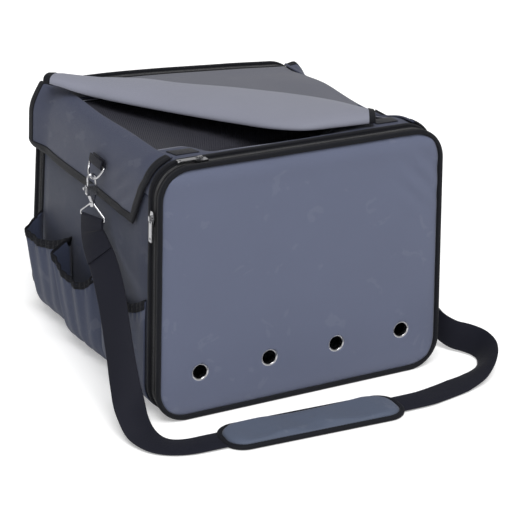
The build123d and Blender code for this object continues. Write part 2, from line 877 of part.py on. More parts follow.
strap_edges = [
    (-0.34, 0.94, 0),
    (-0.34, 0.94, 0),
    (-0.37, 0.93, 0),
    (-0.45, 0.89, 0),
    (-0.55, 0.83, 0),
    (-0.68, 0.73, 0),
    (-0.8, 0.6, 0),
    (-0.9, 0.43, 0),
    (-0.96, 0.28, 0),
    (-1, 0.12, 0),
    (-1, 0, 0),
    (-0.95, -0.15, 0),
    (-0.8, -0.6, 0),
    (-0.3, -0.95, 0),
    (-0.05, -1, 0),
    (-0.05, -1, 0),
    (0.15, -1, 0),
    (0.15, -1, 0),
    (0.2, -0.95, 0.2),
    (0.3, -0.7, 0.55),
    (0.5, -0.3, 0.75),
    (0.4, 0.1, 0.88),
    (0.25, 0.2, 0.95),
    (0.1, 0.1, 1),
    (0, -0.2, 1),
    (0, -0.6, 0.8),
    (0, -0.85, 0.5),
    (0, -1, 0),
    (-0.05, -1, 0),
    (-0.2, -0.98, 0),
    (-0.34, -0.94, 0),
]


def turn_radius(before, corner, after):
    # as large an arc as the two runs that meet at a corner allow
    first = Vector(*corner) - Vector(*before)
    second = Vector(*after) - Vector(*corner)
    half_turn = math.radians(first.get_angle(second) / 2)
    return 0.45 * min(first.length, second.length) / math.tan(half_turn)


strap_radii = [turn_radius(*strap_route[k - 1 : k + 2]) for k in range(1, len(strap_route) - 1)]
with BuildLine() as strap_line:
    FilletPolyline(*strap_route, radius=strap_radii)
strap_path = strap_line.wire()
print("strap length", round(strap_path.length), "least radius", round(min(strap_radii), 1))

legs = [(Vector(*b) - Vector(*a)).length for a, b in zip(strap_route, strap_route[1:])]
marks = [sum(legs[:k]) / sum(legs) for k in range(len(strap_route))]


def strap_plane(place):
    # across the strap, X along its width, at a share of its length
    k = max(j for j in range(len(legs)) if marks[j] <= place)
    share = (place - marks[k]) / (marks[k + 1] - marks[k])
    edge = Vector(*strap_edges[k]) * (1 - share) + Vector(*strap_edges[k + 1]) * share
    along = strap_path % place
    flat = edge - along * edge.dot(along)
    return Plane(origin=strap_path @ place, x_dir=flat, z_dir=along)


fold_radius = eye_wire / 2 + strap_fold_fit
with BuildPart() as shoulder_strap:
    for k in range(strap_sections + 1):
        with BuildSketch(strap_plane(k / strap_sections)):
            Rectangle(webbing_width, webbing_thickness)
    loft(ruled=True)
    print("strap volume", round(shoulder_strap.part.volume), "section times length",
          round(strap_path.length * webbing_width * webbing_thickness))
    bars = [
        Plane(origin=(x, ring_y, eye_bar), z_dir=(math.copysign(math.sin(turn), x), math.cos(turn), 0))
        for x in (hook_x, -hook_x)
    ]
    for bar in bars:
        with BuildSketch(bar):
            Circle(fold_radius + webbing_thickness)
        extrude(amount=webbing_width / 2, both=True)
    for bar in bars:
        with BuildSketch(bar):
            Circle(fold_radius)
        extrude(amount=webbing_width / 2 + 1, both=True, mode=Mode.SUBTRACT)
save(shoulder_strap.part, "shoulder_strap")

# Shoulder pad: a crowned cushion with a bound edge, threaded on the strap
pad_plane = Plane(origin=(pad_x, pad_y, 0)).rotated((0, 0, pad_turn))
slot_height = webbing_thickness + 2 * slot_fit
slot_floor = pad_floor_gap + pad_sole
pad_top = pad_floor_gap + pad_thickness


def pad_slice(height, drawn):
    # the pad's plan at one height, drawn in from its full outline
    with BuildSketch(pad_plane.offset(height)) as plan:
        RectangleRounded(pad_length - 2 * drawn, pad_width - 2 * drawn, pad_corner - drawn)
    return plan.sketch


def pad_slot():
    # the tunnel for the webbing, right through a piece of the pad
    with BuildPart() as slot:
        with BuildSketch(pad_plane.offset(slot_floor)):
            Rectangle(2 * pad_length, webbing_width + 2 * slot_fit)
        extrude(amount=slot_height)
    return slot.part


edge_top = pad_floor_gap + pad_edge_thickness
crown = pad_thickness - pad_edge_thickness
with BuildPart() as shoulder_pad:
    levels = [(pad_floor_gap, 0), (edge_top, 0), (edge_top + crown * 0.6, 3), (pad_top - 0.8, 8), (pad_top, 14)]
    for height, drawn in levels:
        add(pad_slice(height, pad_binding + drawn))
    loft(ruled=True)
    add(pad_slot(), mode=Mode.SUBTRACT)
save(shoulder_pad.part, "shoulder_pad")

with BuildPart() as pad_edge:
    for height, drawn in [(pad_floor_gap, 1.2), (pad_floor_gap + 1.2, 0), (edge_top - 1.2, 0), (edge_top, 1.2)]:
        add(pad_slice(height, drawn))
    loft(ruled=True)
    for height in (pad_floor_gap, edge_top):
        add(pad_slice(height, pad_binding))
    loft(ruled=True, mode=Mode.SUBTRACT)
    add(pad_slot(), mode=Mode.SUBTRACT)
save(pad_edge.part, "shoulder_pad_binding")

# Strap adjuster on the right-hand drop: two end bars on the face, one behind it
adjuster_plane = strap_plane(adjuster_place)
print("adjuster at", [round(v, 1) for v in adjuster_plane.origin])
rail_x = webbing_width / 2 + adjuster_fit + adjuster_wire / 2
bar_lift = webbing_thickness / 2 + adjuster_fit + adjuster_wire / 2
bar_y = (adjuster_length - adjuster_rail) / 2
face_plane = Plane(origin=adjuster_plane.origin, x_dir=adjuster_plane.x_dir, z_dir=adjuster_plane.y_dir)
with BuildPart() as adjuster:
    with BuildSketch():
        with Locations((-rail_x, 0), (rail_x, 0)):
            Rectangle(adjuster_wire, adjuster_length)
    extrude(amount=bar_lift + adjuster_wire / 2, both=True)
    for lift, places in [(bar_lift, [bar_y, -bar_y]), (-bar_lift, [0])]:
        with BuildSketch(Plane.XY.offset(lift - adjuster_wire / 2)):
            with Locations([(0, y) for y in places]):
                Rectangle(2 * rail_x + adjuster_wire, adjuster_rail)
        extrude(amount=adjuster_wire)
save(face_plane * adjuster.part, "strap_adjuster")
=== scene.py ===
"""Pet car seat bag: its cloth, bindings, zips, webbing and metal finishes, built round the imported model."""

import math

import bmesh
import bpy
from bpy.props import FloatProperty, FloatVectorProperty, IntProperty, PointerProperty
from mathutils import Matrix, Vector, noise


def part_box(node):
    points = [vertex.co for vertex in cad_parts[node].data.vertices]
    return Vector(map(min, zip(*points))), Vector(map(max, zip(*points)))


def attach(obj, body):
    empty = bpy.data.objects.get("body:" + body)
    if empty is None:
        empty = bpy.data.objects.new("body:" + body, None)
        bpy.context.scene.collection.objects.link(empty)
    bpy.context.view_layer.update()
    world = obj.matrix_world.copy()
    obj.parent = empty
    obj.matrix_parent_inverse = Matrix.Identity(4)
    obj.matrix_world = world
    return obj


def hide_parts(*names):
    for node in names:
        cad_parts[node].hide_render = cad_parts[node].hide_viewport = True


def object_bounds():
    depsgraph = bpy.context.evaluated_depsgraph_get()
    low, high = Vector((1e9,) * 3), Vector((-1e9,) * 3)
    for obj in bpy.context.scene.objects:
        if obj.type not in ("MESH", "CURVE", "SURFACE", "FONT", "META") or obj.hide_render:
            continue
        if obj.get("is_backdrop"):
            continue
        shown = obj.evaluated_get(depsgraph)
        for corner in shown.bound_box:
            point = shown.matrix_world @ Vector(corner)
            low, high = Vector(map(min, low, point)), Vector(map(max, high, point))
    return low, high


bl_info = {
    "name": "Pet Car Seat Bag",
    "version": (1, 0, 0),
    "blender": (4, 5, 0),
    "location": "View3D > Sidebar > Pet Bag",
    "description": "Dresses the pet car seat bag in cloth, mesh, zips, webbing and plated metal",
    "category": "Add Mesh",
}

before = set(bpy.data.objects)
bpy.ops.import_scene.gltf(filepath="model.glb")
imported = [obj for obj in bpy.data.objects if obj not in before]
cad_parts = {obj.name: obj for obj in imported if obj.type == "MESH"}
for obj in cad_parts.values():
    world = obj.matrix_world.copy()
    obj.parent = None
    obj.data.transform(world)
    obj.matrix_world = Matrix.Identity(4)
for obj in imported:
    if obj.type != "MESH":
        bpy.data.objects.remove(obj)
CAD_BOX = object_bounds()

# Sizes of the shell, from the frame where it holds them, in metres
DOOR_LOW, DOOR_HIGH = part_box("front_door_piping")
WIDTH = 2 * DOOR_HIGH.x
HEIGHT = DOOR_HIGH.z
FRONT = DOOR_LOW.y
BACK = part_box("back_door_piping")[1].y
TOP_DRAW = 0.008
LEAN = math.atan2(0.040, HEIGHT)
CORNER = 0.042

# The zip band's layers, by depth inside the outer face of an end
PIPING = 0.007
DOOR_TAPE = 0.0135
DOOR_COIL = 0.0156
BODY_COIL = 0.0159
BODY_COIL_END = 0.0180
BODY_TAPE = 0.0245
BAND = 0.0315

# The bands' insets inside the bag's outline, outer and inner
PIPING_RISE = (0.0, 0.0065)
TAPE_RISE = (0.0030, 0.0044)
COIL_RISE = (0.0020, 0.0050)
PIPING_LAP = 0.0006
COIL_LAP = 0.0004
TOOTH_HEIGHT = 0.00045

# End panels
PANEL_INSET = 0.0055
PANEL_SEAM = 0.006
PANEL_THICK = 0.0040
EYELET_HOLE = 0.0112

# Walls
SIDES = (("left", -1), ("right", 1))
WALL_THICK = 0.0026
WALL_INSET = 0.0016
WALL_SWELL = 0.0025
WALL_TUCK = 0.003
SEAM_CLEAR = 0.0003

# Window
WINDOW_LOW, WINDOW_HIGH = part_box("window_hem")
ROOF_FOOT = HEIGHT - CORNER
MESH_RIM = 0.003
MESH_FOLD = 0.0022
HEM_INSET = 0.0032
HEM_HALF_WIDTH = 0.0033
HEM_HALF_HEIGHT = 0.0017
SELVEDGE_INSET = 0.0062
SELVEDGE_RADIUS = 0.0007
PATCH_WIDTH = 0.030

# Saddle flaps: where they reach, then how they lie, which is as heights above the walls
SADDLE_FOOT = 0.230
SADDLE_SHOULDER = 0.300
SADDLE_FRONT = -0.144
SADDLE_TOP_FRONT = FRONT + BAND + SEAM_CLEAR
SADDLE_LENGTH = 0.36
SADDLE_BOUND = 0.013
SADDLE_RAISED_FRONT = 0.007
SADDLE_RAISED_BACK = 0.003
SADDLE_OVER_HEM = 0.0062
SADDLE_STANDING = 0.0027
SADDLE_WAVE = 0.0016
SADDLE_UNEVEN = 0.0006
SADDLE_HOLLOW = 0.0045
SADDLE_FLARE = 0.0100
SADDLE_CREASE = 0.0007
HOOK_HOLD = 0.05

# Pockets, from the back one to the front one
POCKET_SEAMS = [0.163, 0.052, -0.050, -0.180]
POCKET_TOPS = [0.150, 0.148, 0.152]
POCKET_SAGS = [0.024, 0.036, 0.024]
POCKET_BULGES = [0.030, 0.035, 0.009]
POCKET_SKEWS = [0.62, 1.15, 0.90]
POCKET_BOUND = 0.012
POCKET_DEPTH = 0.14
POCKET_THICK = 0.0014
POCKET_STANDING = 0.0008
POCKET_LEAST_BELLY = 0.0010
POCKET_FOLD = 0.0016
POCKET_UNEVEN = 0.0010
POCKET_GATHER = 0.0011
GATHER_TURNS = 640
POCKET_WIDTH = POCKET_SEAMS[0] - POCKET_SEAMS[-1]

# How far the empty bag's roof gives way
ROOF_SINK = 0.0130
CORNER_SINK = 0.0025
BORDER_DIP = 0.0130
EDGE_PULL_FRONT = 0.0060
EDGE_PULL_MORE = 0.0050

# Cover flap: its box, the soft sizes of its fold, and its outlines as plan points on the roof
FLAP_LOW, FLAP_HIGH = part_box("cover_flap")
FLAP_HINGE = FLAP_HIGH.y
FLAP_LEFT = -0.150
FLAP_RIGHT = 0.158
FLAP_THICK = 0.0024
FLAP_STANDING = 0.0049
FLAP_PUFF = 0.0009
FLAP_UPPER_ROUND = 0.85
FLAP_UNDER_ROUND = 0.6
FLAP_LEFT_STAND = 0.0100
FLAP_UNDER = [(-0.150, 0.090), (0.100, -0.150), (0.128, -0.118), (0.158, -0.060)]
FLAP_FRONT = [
    (-0.204, 0.118),
    (-0.185, 0.095),
    (-0.161, 0.068),
    (-0.139, 0.032),
    (-0.091, -0.039),
    (-0.038, -0.112),
    (-0.011, -0.148),
    (0.020, -0.172),
    (0.062, -0.180),
    (0.112, -0.184),
]
FLAP_RIDGE = [
    (-0.185, 0.134),
    (-0.167, 0.133),
    (-0.129, 0.122),
    (-0.072, 0.094),
    (-0.036, 0.056),
    (0.024, 0.004),
    (0.084, -0.062),
    (0.115, -0.118),
    (0.128, -0.148),
]

# Sewing thread
STITCH_LENGTH = 0.0026
STITCH_WIDTH = 0.0007
THREAD = (0.012, 0.0125, 0.017)

# Light, and the camera fitted to the photograph: its place, and azimuth, elevation and roll in degrees
AMBIENT = 0.50
KEY_LIGHT = (-0.14, -0.46, 0.70)
KEY_STRENGTH = 2.5
KEY_SPREAD = 35
FLOOR_GLOW = 0.30
CAMERA_PLACE = (-0.968, -1.979, 1.007)
CAMERA_TURN = (-26.96, 22.1, 0.43)
CAMERA_LENS = 128.3

# Webbing
WEBBING = 0.038
WEBBING_THICK = 0.002
RING_Y = -0.052
HOOK_PARTS = ("hook_body", "hook_bolt", "hook_eye")
EYE_TURN = math.radians(20)
EYE_BAR_RISE = 0.0018
FOLD_RADIUS = 0.0025
FOLD_START = 0.006
FOLD_END = 0.052
STRAP_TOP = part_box("left_hook_eye")[0].z - 0.0006
HOOK_X = (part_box("right_hook_eye")[0].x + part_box("right_hook_eye")[1].x) / 2
STRAP_ROUTE = [
    (-HOOK_X, RING_Y, STRAP_TOP),
    (-0.2093, -0.0525, 0.201),
    (-0.210, -0.058, 0.191),
    (-0.2106, -0.071, 0.181),
    (-0.2116, -0.091, 0.1695),
    (-0.2150, -0.114, 0.155),
    (-0.2200, -0.139, 0.137),
    (-0.2250, -0.161, 0.113),
    (-0.2290, -0.183, 0.082),
    (-0.232, -0.204, 0.049),
    (-0.232, -0.222, 0.023),
    (-0.2295, -0.241, 0.008),
    (-0.218, -0.266, 0.0026),
    (-0.191, -0.281, 0.0018),
    (-0.152, -0.2836, 0.0032),
    (0.116, -0.2981, 0.0032),
    (0.150, -0.291, 0.0018),
    (0.186, -0.284, 0.0024),
    (0.217, -0.277, 0.006),
    (0.243, -0.262, 0.013),
    (0.258, -0.241, 0.017),
    (0.261, -0.219, 0.019),
    (0.252, -0.201, 0.021),
    (0.237, -0.186, 0.023),
    (0.224, -0.166, 0.036),
    (0.218, -0.141, 0.064),
    (0.2155, -0.114, 0.096),
    (0.2125, -0.091, 0.128),
    (0.2098, -0.067, 0.161),
    (0.209, -0.056, 0.184),
    (HOOK_X, RING_Y, STRAP_TOP),
]
STRAP_EDGES = [
    (-0.34, 0.94, 0),
    (-0.34, 0.94, 0),
    (-0.34, 0.94, 0),
    (-0.36, 0.93, 0),
    (-0.40, 0.92, 0),
    (-0.46, 0.89, 0),
    (-0.50, 0.86, 0),
    (-0.54, 0.84, 0),
    (-0.58, 0.80, 0),
    (-0.72, 0.65, 0),
    (-1, 0, 0),
    (-0.95, -0.15, 0),
    (-0.8, -0.6, 0),
    (-0.3, -0.95, 0),
    (-0.05, -1, 0),
    (-0.05, -1, 0),
    (0.15, -1, 0),
    (0.15, -1, 0),
    (0.2, -0.95, 0.2),
    (0.3, -0.7, 0.55),
    (0.5, -0.3, 0.75),
    (0.4, 0.1, 0.88),
    (0.25, 0.2, 0.95),
    (0.1, 0.1, 1),
    (0, -0.2, 1),
    (0, -0.6, 0.8),
    (0, -0.85, 0.5),
    (0, -1, 0),
    (-0.05, -1, 0),
    (-0.2, -0.98, 0),
    (-0.34, -0.94, 0),
]

# How far the floor cushion may swell on each side as it fills
CUSHION_FILL = 0.010

# Shoulder pad, lying on the floor
PAD_PLACE = Vector((-0.027, -0.2904, 0))
PAD_TURN = math.radians(-3.1)
PAD_LENGTH = 0.240
PAD_WIDTH = 0.064
PAD_CORNER = 0.027
PAD_BOUND = 0.007
PAD_EDGE = 0.005
PAD_THICK = 0.010
PAD_FLOOR = 0.0002
PAD_ROLL = 0.022
PAD_CREASE = 0.0014


def length_property(name, description, default):
    return FloatProperty(name=name, description=description, default=default, unit="LENGTH")


def colour_property(name, description, default):
    return FloatVectorProperty(
        name=name, description=description, default=default, subtype="COLOR", size=3, min=0.0, max=1.0
    )


class BagShape(bpy.types.PropertyGroup):
    """Sizes of the soft forms that a user would change."""

    panel_crown: length_property(
        "Panel crown", "How far the padded end panels stand proud of their seams", 0.0042
    )
    panel_roll: length_property(
        "Panel roll-off", "How far in from the seam the panel's padding reaches its full height", 0.016
    )
    mesh_sag: length_property("Mesh sag", "How deep the mesh window hangs", 0.013)
    wall_ripple: length_property("Wall ripple", "Height of the soft ripples in the walls", 0.0016)
    saddle_thickness: length_property(
        "Saddle thickness", "Padded thickness of the saddle flaps", 0.0027
    )
    flap_crown: length_property("Flap crown", "Height of the folded part of the cover flap", 0.0125)
    stitch_pitch: length_property("Stitch pitch", "Distance from one stitch to the next", 0.0042)
    coil_pitch: length_property("Coil pitch", "Distance from one turn of a zip coil to the next", 0.0018)
    sim_frames: IntProperty(
        name="Filling frames",
        description="Frames of cloth simulation that fill the floor cushion",
        default=20,
    )


class BagColours(bpy.types.PropertyGroup):
    """Colours of the finishes, as linear values."""

    panel: colour_property("Panel nylon", "End panels", (0.112, 0.127, 0.190))
    # The side colour is partly the nylon's own colour and partly painted shade: it is darker for the walls
    # that lie in shadow under the saddle flaps
    side: colour_property("Side nylon and painted shade", "Side walls", (0.024, 0.030, 0.056))
    saddle: colour_property("Saddle nylon", "Roof cloth and saddle flaps", (0.048, 0.055, 0.090))
    # The flap colour is partly the cloth's own paler colour and partly painted light: it is lighter for the
    # top of the fold, which faces the lamp
    flap: colour_property("Flap nylon and painted light", "Cover flap", (0.215, 0.222, 0.272))
    pocket: colour_property("Pocket nylon", "Gathered side pockets", (0.042, 0.051, 0.088))
    webbing: colour_property("Webbing", "Strap and tabs", (0.0105, 0.0110, 0.0175))
    binding: colour_property("Binding", "Bindings and pipings", (0.0085, 0.0090, 0.0120))
    pad: colour_property("Pad nylon", "Shoulder pad", (0.083, 0.101, 0.146))
    lining: colour_property("Fleece", "Floor cushion", (0.170, 0.180, 0.220))
    metal: colour_property("Plated metal", "Nickel plate", (0.56, 0.56, 0.58))


# Small shaping helpers
def mix(a, b, share):
    """The value that share of the way from a to b."""
    return a + (b - a) * share


def clamp(value, low=0.0, high=1.0):
    """The value, held between two limits."""
    return max(low, min(high, value))


def ease(value):
    """From 0 to 1 as the value does, level at both ends."""
    value = clamp(value)
    return value * value * (3 - 2 * value)


def rising(value, start, stop):
    """From 0 at start to 1 at stop, level at both."""
    return ease((value - start) / (stop - start))


def falling(value, start, stop):
    """From 1 at start to 0 at stop, level at both."""
    return 1 - rising(value, start, stop)


def ripple(x, y, z, size, seed=0.0):
    """Smooth, repeatable unevenness between -1 and 1 at one grain size."""
    return noise.noise(Vector((x / size + seed, y / size + seed * 0.7, z / size - seed)))


def bell(value, middle, width):
    """1 at the middle, falling smoothly to nothing a few widths away."""
    return math.exp(-(((value - middle) / width) ** 2))


def quarter_rise(share):
    """From 0 to 1 as a quarter circle rises, reached at a share of 1."""
    return math.sqrt(clamp(1 - (1 - min(1.0, share)) ** 2))


def rounded_square(share, power):
    """Cosine and sine of a point that share round, and its reach on a rounded square."""
    angle = 2 * math.pi * share
    c, s = math.cos(angle), math.sin(angle)
    return c, s, (abs(c) ** power + abs(s) ** power) ** (-1 / power)


def half_width(z, inset=0.0):
    """Half the bag's width at height z, which draws in towards the top."""
    return WIDTH / 2 - TOP_DRAW * z / HEIGHT - inset


def end_y(end, z, depth):
    """Where the plane parallel to an end, depth inside it, stands at height z."""
    if end == "front":
        return FRONT + depth
    return BACK - depth / math.cos(LEAN) - z * math.tan(LEAN)


class Outline:
    """The bag's rounded cross-section, walked from the middle of its floor edge, up the +X side and round."""

    def __init__(self, inset):
        radius = CORNER - inset
        foot, head = half_width(inset, inset), half_width(HEIGHT - inset, inset)
        low, high = inset, HEIGHT - inset
        corners = [Vector((foot, low)), Vector((head, high)), Vector((-head, high)), Vector((-foot, low))]
        self.runs = []
        here = Vector((0, low))
        self.marks = [0.0]
        for k, corner in enumerate(corners):
            before = (corner - corners[k - 1]).normalized()
            after = (corners[(k + 1) % 4] - corner).normalized()
            turn = before.angle(after)
            trim = radius * math.tan(turn / 2)
            start, finish = corner - before * trim, corner + after * trim
            self._add("line", (start - here).length, (here, before))
            inward = Vector((-before.y, before.x))
            first_angle = math.atan2(-inward.y, -inward.x)
            self._add("arc", radius * turn, (start + inward * radius, first_angle, radius))
            here = finish
        self._add("line", abs(here.x), (here, Vector((1, 0))))
        self.length = self.marks[-1]

    def _add(self, kind, length, data):
        self.runs.append((kind, data))
        self.marks.append(self.marks[-1] + length)

    def at(self, distance):
        """(x, z, outward x, outward z) that far round."""
        distance = distance % self.length
        k = max(j for j in range(len(self.runs)) if self.marks[j] <= distance)
        kind, data = self.runs[k]
        along = distance - self.marks[k]
        if kind == "line":
            start, way = data
            point = start + way * along
            return point.x, point.y, way.y, -way.x
        centre, angle, radius = data
        turned = angle + along / radius
        return (
            centre.x + radius * math.cos(turned),
            centre.y + radius * math.sin(turned),
            math.cos(turned),
            math.sin(turned),
        )

    def height(self, z):
        """The distance round at which the +X side stands at height z."""
        low, high = self.marks[1], self.marks[4]
        for _ in range(40):
            middle = (low + high) / 2
            low, high = (middle, high) if self.at(middle)[1] < z else (low, middle)
        return (low + high) / 2


# Meshes
def new_object(name, bm):
    """Put a smooth-shaded mesh into the scene."""
    for face in bm.faces:
        face.smooth = True
    mesh = bpy.data.meshes.new(name)
    bm.to_mesh(mesh)
    bm.free()
    piece = bpy.data.objects.new(name, mesh)
    bpy.context.scene.collection.objects.link(piece)
    return piece


def face_out(bm, centre):
    """Turn an open sheet so that its faces look away from a point inside the bag."""
    bm.normal_update()
    lean = sum(face.normal.dot(face.calc_center_median() - centre) * face.calc_area() for face in bm.faces)
    if lean < 0:
        bmesh.ops.reverse_faces(bm, faces=bm.faces[:])


def close_holes(bm):
    """Cap every open edge loop and turn the faces outwards."""
    bmesh.ops.holes_fill(bm, edges=[edge for edge in bm.edges if edge.is_boundary], sides=0)
    bmesh.ops.recalc_face_normals(bm, faces=bm.faces[:])


def surface(name, steps_u, steps_v, place, size, closed=False, capped=False, cut=None):
    """A grid whose points are placed by a function of two shares, with its UV map in metres."""
    bm = bmesh.new()
    bmesh.ops.create_grid(bm, x_segments=steps_u, y_segments=steps_v, size=0.5)
    layer = bm.loops.layers.uv.new("UVMap")
    for face in bm.faces:
        for loop in face.loops:
            loop[layer].uv = ((loop.vert.co.x + 0.5) * size[0], (loop.vert.co.y + 0.5) * size[1])
    for vert in bm.verts:
        vert.co = place(clamp(vert.co.x + 0.5), clamp(vert.co.y + 0.5))
    bmesh.ops.remove_doubles(bm, verts=bm.verts[:], dist=1e-6)
    if cut:
        gone = [face for face in bm.faces if cut(face.calc_center_median())]
        bmesh.ops.delete(bm, geom=gone, context="FACES")
    if closed:
        bmesh.ops.recalc_face_normals(bm, faces=bm.faces[:])
    else:
        face_out(bm, Vector((0, 0, HEIGHT / 2)))
    if capped:
        close_holes(bm)
    return new_object(name, bm)


def thicken(piece, thickness, offset=-1.0):
    """Give a sheet its thickness, inwards from its face unless the offset says outwards."""
    solid = piece.modifiers.new("thickness", "SOLIDIFY")
    solid.thickness = thickness
    solid.offset = offset
    solid.use_even_offset = True


def dress(piece, body, slot, material, *nodes):
    """Give a piece its finish, tie it to its body and hide the model nodes that it stands for. The slot is
    not used.
    """
    piece.data.materials.clear()
    piece.data.materials.append(material)
    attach(piece, body)
    if nodes:
        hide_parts(*nodes)


def flat_uv(piece, axes):
    """Lay a piece's UV map out along two world axes, in metres."""
    layer = piece.data.uv_layers.active or piece.data.uv_layers.new(name="UVMap")
    for loop in piece.data.loops:
        point = piece.data.vertices[loop.vertex_index].co
        layer.data[loop.index].uv = (point[axes[0]], point[axes[1]])


# Shader nodes
class Wiring:
    """Short calls for adding and joining nodes in a tree."""

    def __init__(self, tree):
        self.nodes = tree.nodes
        self.links = tree.links

    def add(self, kind, **settings):
        node = self.nodes.new(kind)
        for key, value in settings.items():
            setattr(node, key, value)
        return node

    def join(self, source, target):
        self.links.new(source, target)

    def give(self, node, values):
        """Join or set a node's inputs by name."""
        for name, value in values.items():
            if isinstance(value, bpy.types.NodeSocket):
                self.join(value, node.inputs[name])
            else:
                node.inputs[name].default_value = value

    def noise(self, vector, scale, detail=2.0, distortion=0.0):
        """How strong a noise is at a vector."""
        node = self.add("ShaderNodeTexNoise")
        self.give(node, {"Vector": vector, "Scale": scale, "Detail": detail, "Distortion": distortion})
        return node.outputs["Fac"]

    def scale(self, vector, amount):
        """A vector or a colour times one value."""
        node = self.add("ShaderNodeVectorMath", operation="SCALE")
        self.join(vector, node.inputs[0])
        self.join(amount, node.inputs["Scale"])
        return node.outputs[0]

    def split(self, vector):
        """The three parts of a vector."""
        node = self.add("ShaderNodeSeparateXYZ")
        self.join(vector, node.inputs[0])
        return node.outputs

    def bump(self, height, distance, strength=1.0, under=None):
        """A normal that follows a height, over another such normal where one is given."""
        node = self.add("ShaderNodeBump")
        self.give(node, {"Height": height, "Distance": distance, "Strength": strength})
        if under:
            self.join(under, node.inputs["Normal"])
        return node.outputs["Normal"]

    def math(self, operation, first, second=None):
        node = self.add("ShaderNodeMath", operation=operation)
        for socket, value in zip(node.inputs, (first, second)):
            if value is None:
                continue
            if isinstance(value, bpy.types.NodeSocket):
                self.join(value, socket)
            else:
                socket.default_value = value
        return node.outputs[0]

    def blend(self, factor, first, second, kind="RGBA", way="MIX"):
        node = self.add("ShaderNodeMix", data_type=kind)
        if kind == "RGBA":
            node.blend_type = way
        slots = {"RGBA": (0, 6, 7, 2), "FLOAT": (0, 2, 3, 0)}[kind]
        for index, value in zip(slots[:3], (factor, first, second)):
            if isinstance(value, bpy.types.NodeSocket):
                self.join(value, node.inputs[index])
            else:
                node.inputs[index].default_value = value
        return node.outputs[slots[3]]


def new_group(name, inputs, outputs):
    """A node group with its sockets, ready to be wired."""
    tree = bpy.data.node_groups.new(name, "ShaderNodeTree")
    for label, kind, default in inputs:
        socket = tree.interface.new_socket(name=label, in_out="INPUT", socket_type="NodeSocket" + kind)
        if default is not None:
            socket.default_value = default
    for label, kind in outputs:
        tree.interface.new_socket(name=label, in_out="OUTPUT", socket_type="NodeSocket" + kind)
    wiring = Wiring(tree)
    source = wiring.add("NodeGroupInput").outputs
    return tree, wiring, source, wiring.add("NodeGroupOutput")


def thread_wave(wiring, coordinate):
    """A row of rounded threads along one coordinate counted in threads."""
    return wiring.math("ABSOLUTE", wiring.math("SINE", wiring.math("MULTIPLY", coordinate, math.pi)))


def weave_group():
    """Plain weave: threads over and under each other."""
    tree, w, source, target = new_group(
        "woven_threads",
        [("Vector", "Vector", None), ("Threads per metre", "Float", 1800.0)],
        [("Height", "Float")],
    )
    axes = w.split(w.scale(source["Vector"], source["Threads per metre"]))
    warp, weft = thread_wave(w, axes[0]), thread_wave(w, axes[1])
    cells = w.math("ADD", w.math("FLOOR", axes[0]), w.math("FLOOR", axes[1]))
    over = w.math("FLOORED_MODULO", cells, 2.0)
    w.give(target, {"Height": w.blend(over, warp, weft, "FLOAT")})
    return tree


def rib_group():
    """Twilled webbing: slanting ribs with threads across them."""
    tree, w, source, target = new_group(
        "twill_ribs",
        [("Vector", "Vector", None), ("Ribs per metre", "Float", 700.0), ("Slant", "Float", 1.0)],
        [("Height", "Float")],
    )
    axes = w.split(source["Vector"])
    slanted = w.math("ADD", axes[0], w.math("MULTIPLY", axes[1], source["Slant"]))
    ribs = thread_wave(w, w.math("MULTIPLY", slanted, source["Ribs per metre"]))
    fine = w.math("MULTIPLY", axes[1], w.math("MULTIPLY", source["Ribs per metre"], 2.4))
    w.give(target, {"Height": w.math("ADD", ribs, w.math("MULTIPLY", thread_wave(w, fine), 0.35))})
    return tree


def tone_group():
    """Uneven dye, soft creases and pale rubbed spots on cloth."""
    tree, w, source, target = new_group(
        "cloth_tone",
        [
            ("Vector", "Vector", None),
            ("Color", "Color", (0.2, 0.2, 0.2, 1)),
            ("Unevenness", "Float", 0.12),
            ("Rubbed", "Float", 0.15),
        ],
        [("Color", "Color"), ("Roughness", "Float"), ("Height", "Float")],
    )
    clouds = w.noise(source["Vector"], 9.0, 4.0)
    grain = w.noise(source["Vector"], 420.0)
    creases = w.noise(source["Vector"], 34.0, 3.0, 0.8)
    swing = w.math("SUBTRACT", clouds, 0.5)
    fine = w.math("SUBTRACT", grain, 0.5)
    both = w.math("ADD", w.math("MULTIPLY", swing, 1.6), w.math("MULTIPLY", fine, 0.7))
    gain = w.math("ADD", 1.0, w.math("MULTIPLY", both, source["Unevenness"]))
    worn = w.math("MULTIPLY", w.math("GREATER_THAN", creases, 0.64), source["Rubbed"])
    toned = w.scale(source["Color"], gain)
    w.give(target, {
        "Color": w.blend(worn, toned, (0.42, 0.43, 0.47, 1.0)),
        "Roughness": w.math("ADD", 0.58, w.math("MULTIPLY", swing, 0.35)),
        "Height": creases,
    })
    return tree


def net_group():
    """Holes of a knitted net, 1 where there is thread."""
    tree, w, source, target = new_group(
        "net_threads",
        [("Vector", "Vector", None), ("Holes per metre", "Float", 420.0), ("Hole size", "Float", 0.52)],
        [("Thread", "Float"), ("Height", "Float")],
    )
    axes = w.split(w.scale(source["Vector"], source["Holes per metre"]))
    row = w.math("FLOORED_MODULO", w.math("FLOOR", axes[1]), 2.0)
    across = w.math("ADD", axes[0], w.math("MULTIPLY", row, 0.5))
    near_u = w.math("ABSOLUTE", w.math("SUBTRACT", w.math("FRACT", across), 0.5))
    near_v = w.math("ABSOLUTE", w.math("SUBTRACT", w.math("FRACT", axes[1]), 0.5))
    squares = w.math("ADD", w.math("MULTIPLY", near_u, near_u), w.math("MULTIPLY", near_v, near_v))
    reach = w.math("SQRT", squares)
    limit = w.math("MULTIPLY", source["Hole size"], 0.5)
    w.give(target, {"Thread": w.math("GREATER_THAN", reach, limit), "Height": reach})
    return tree


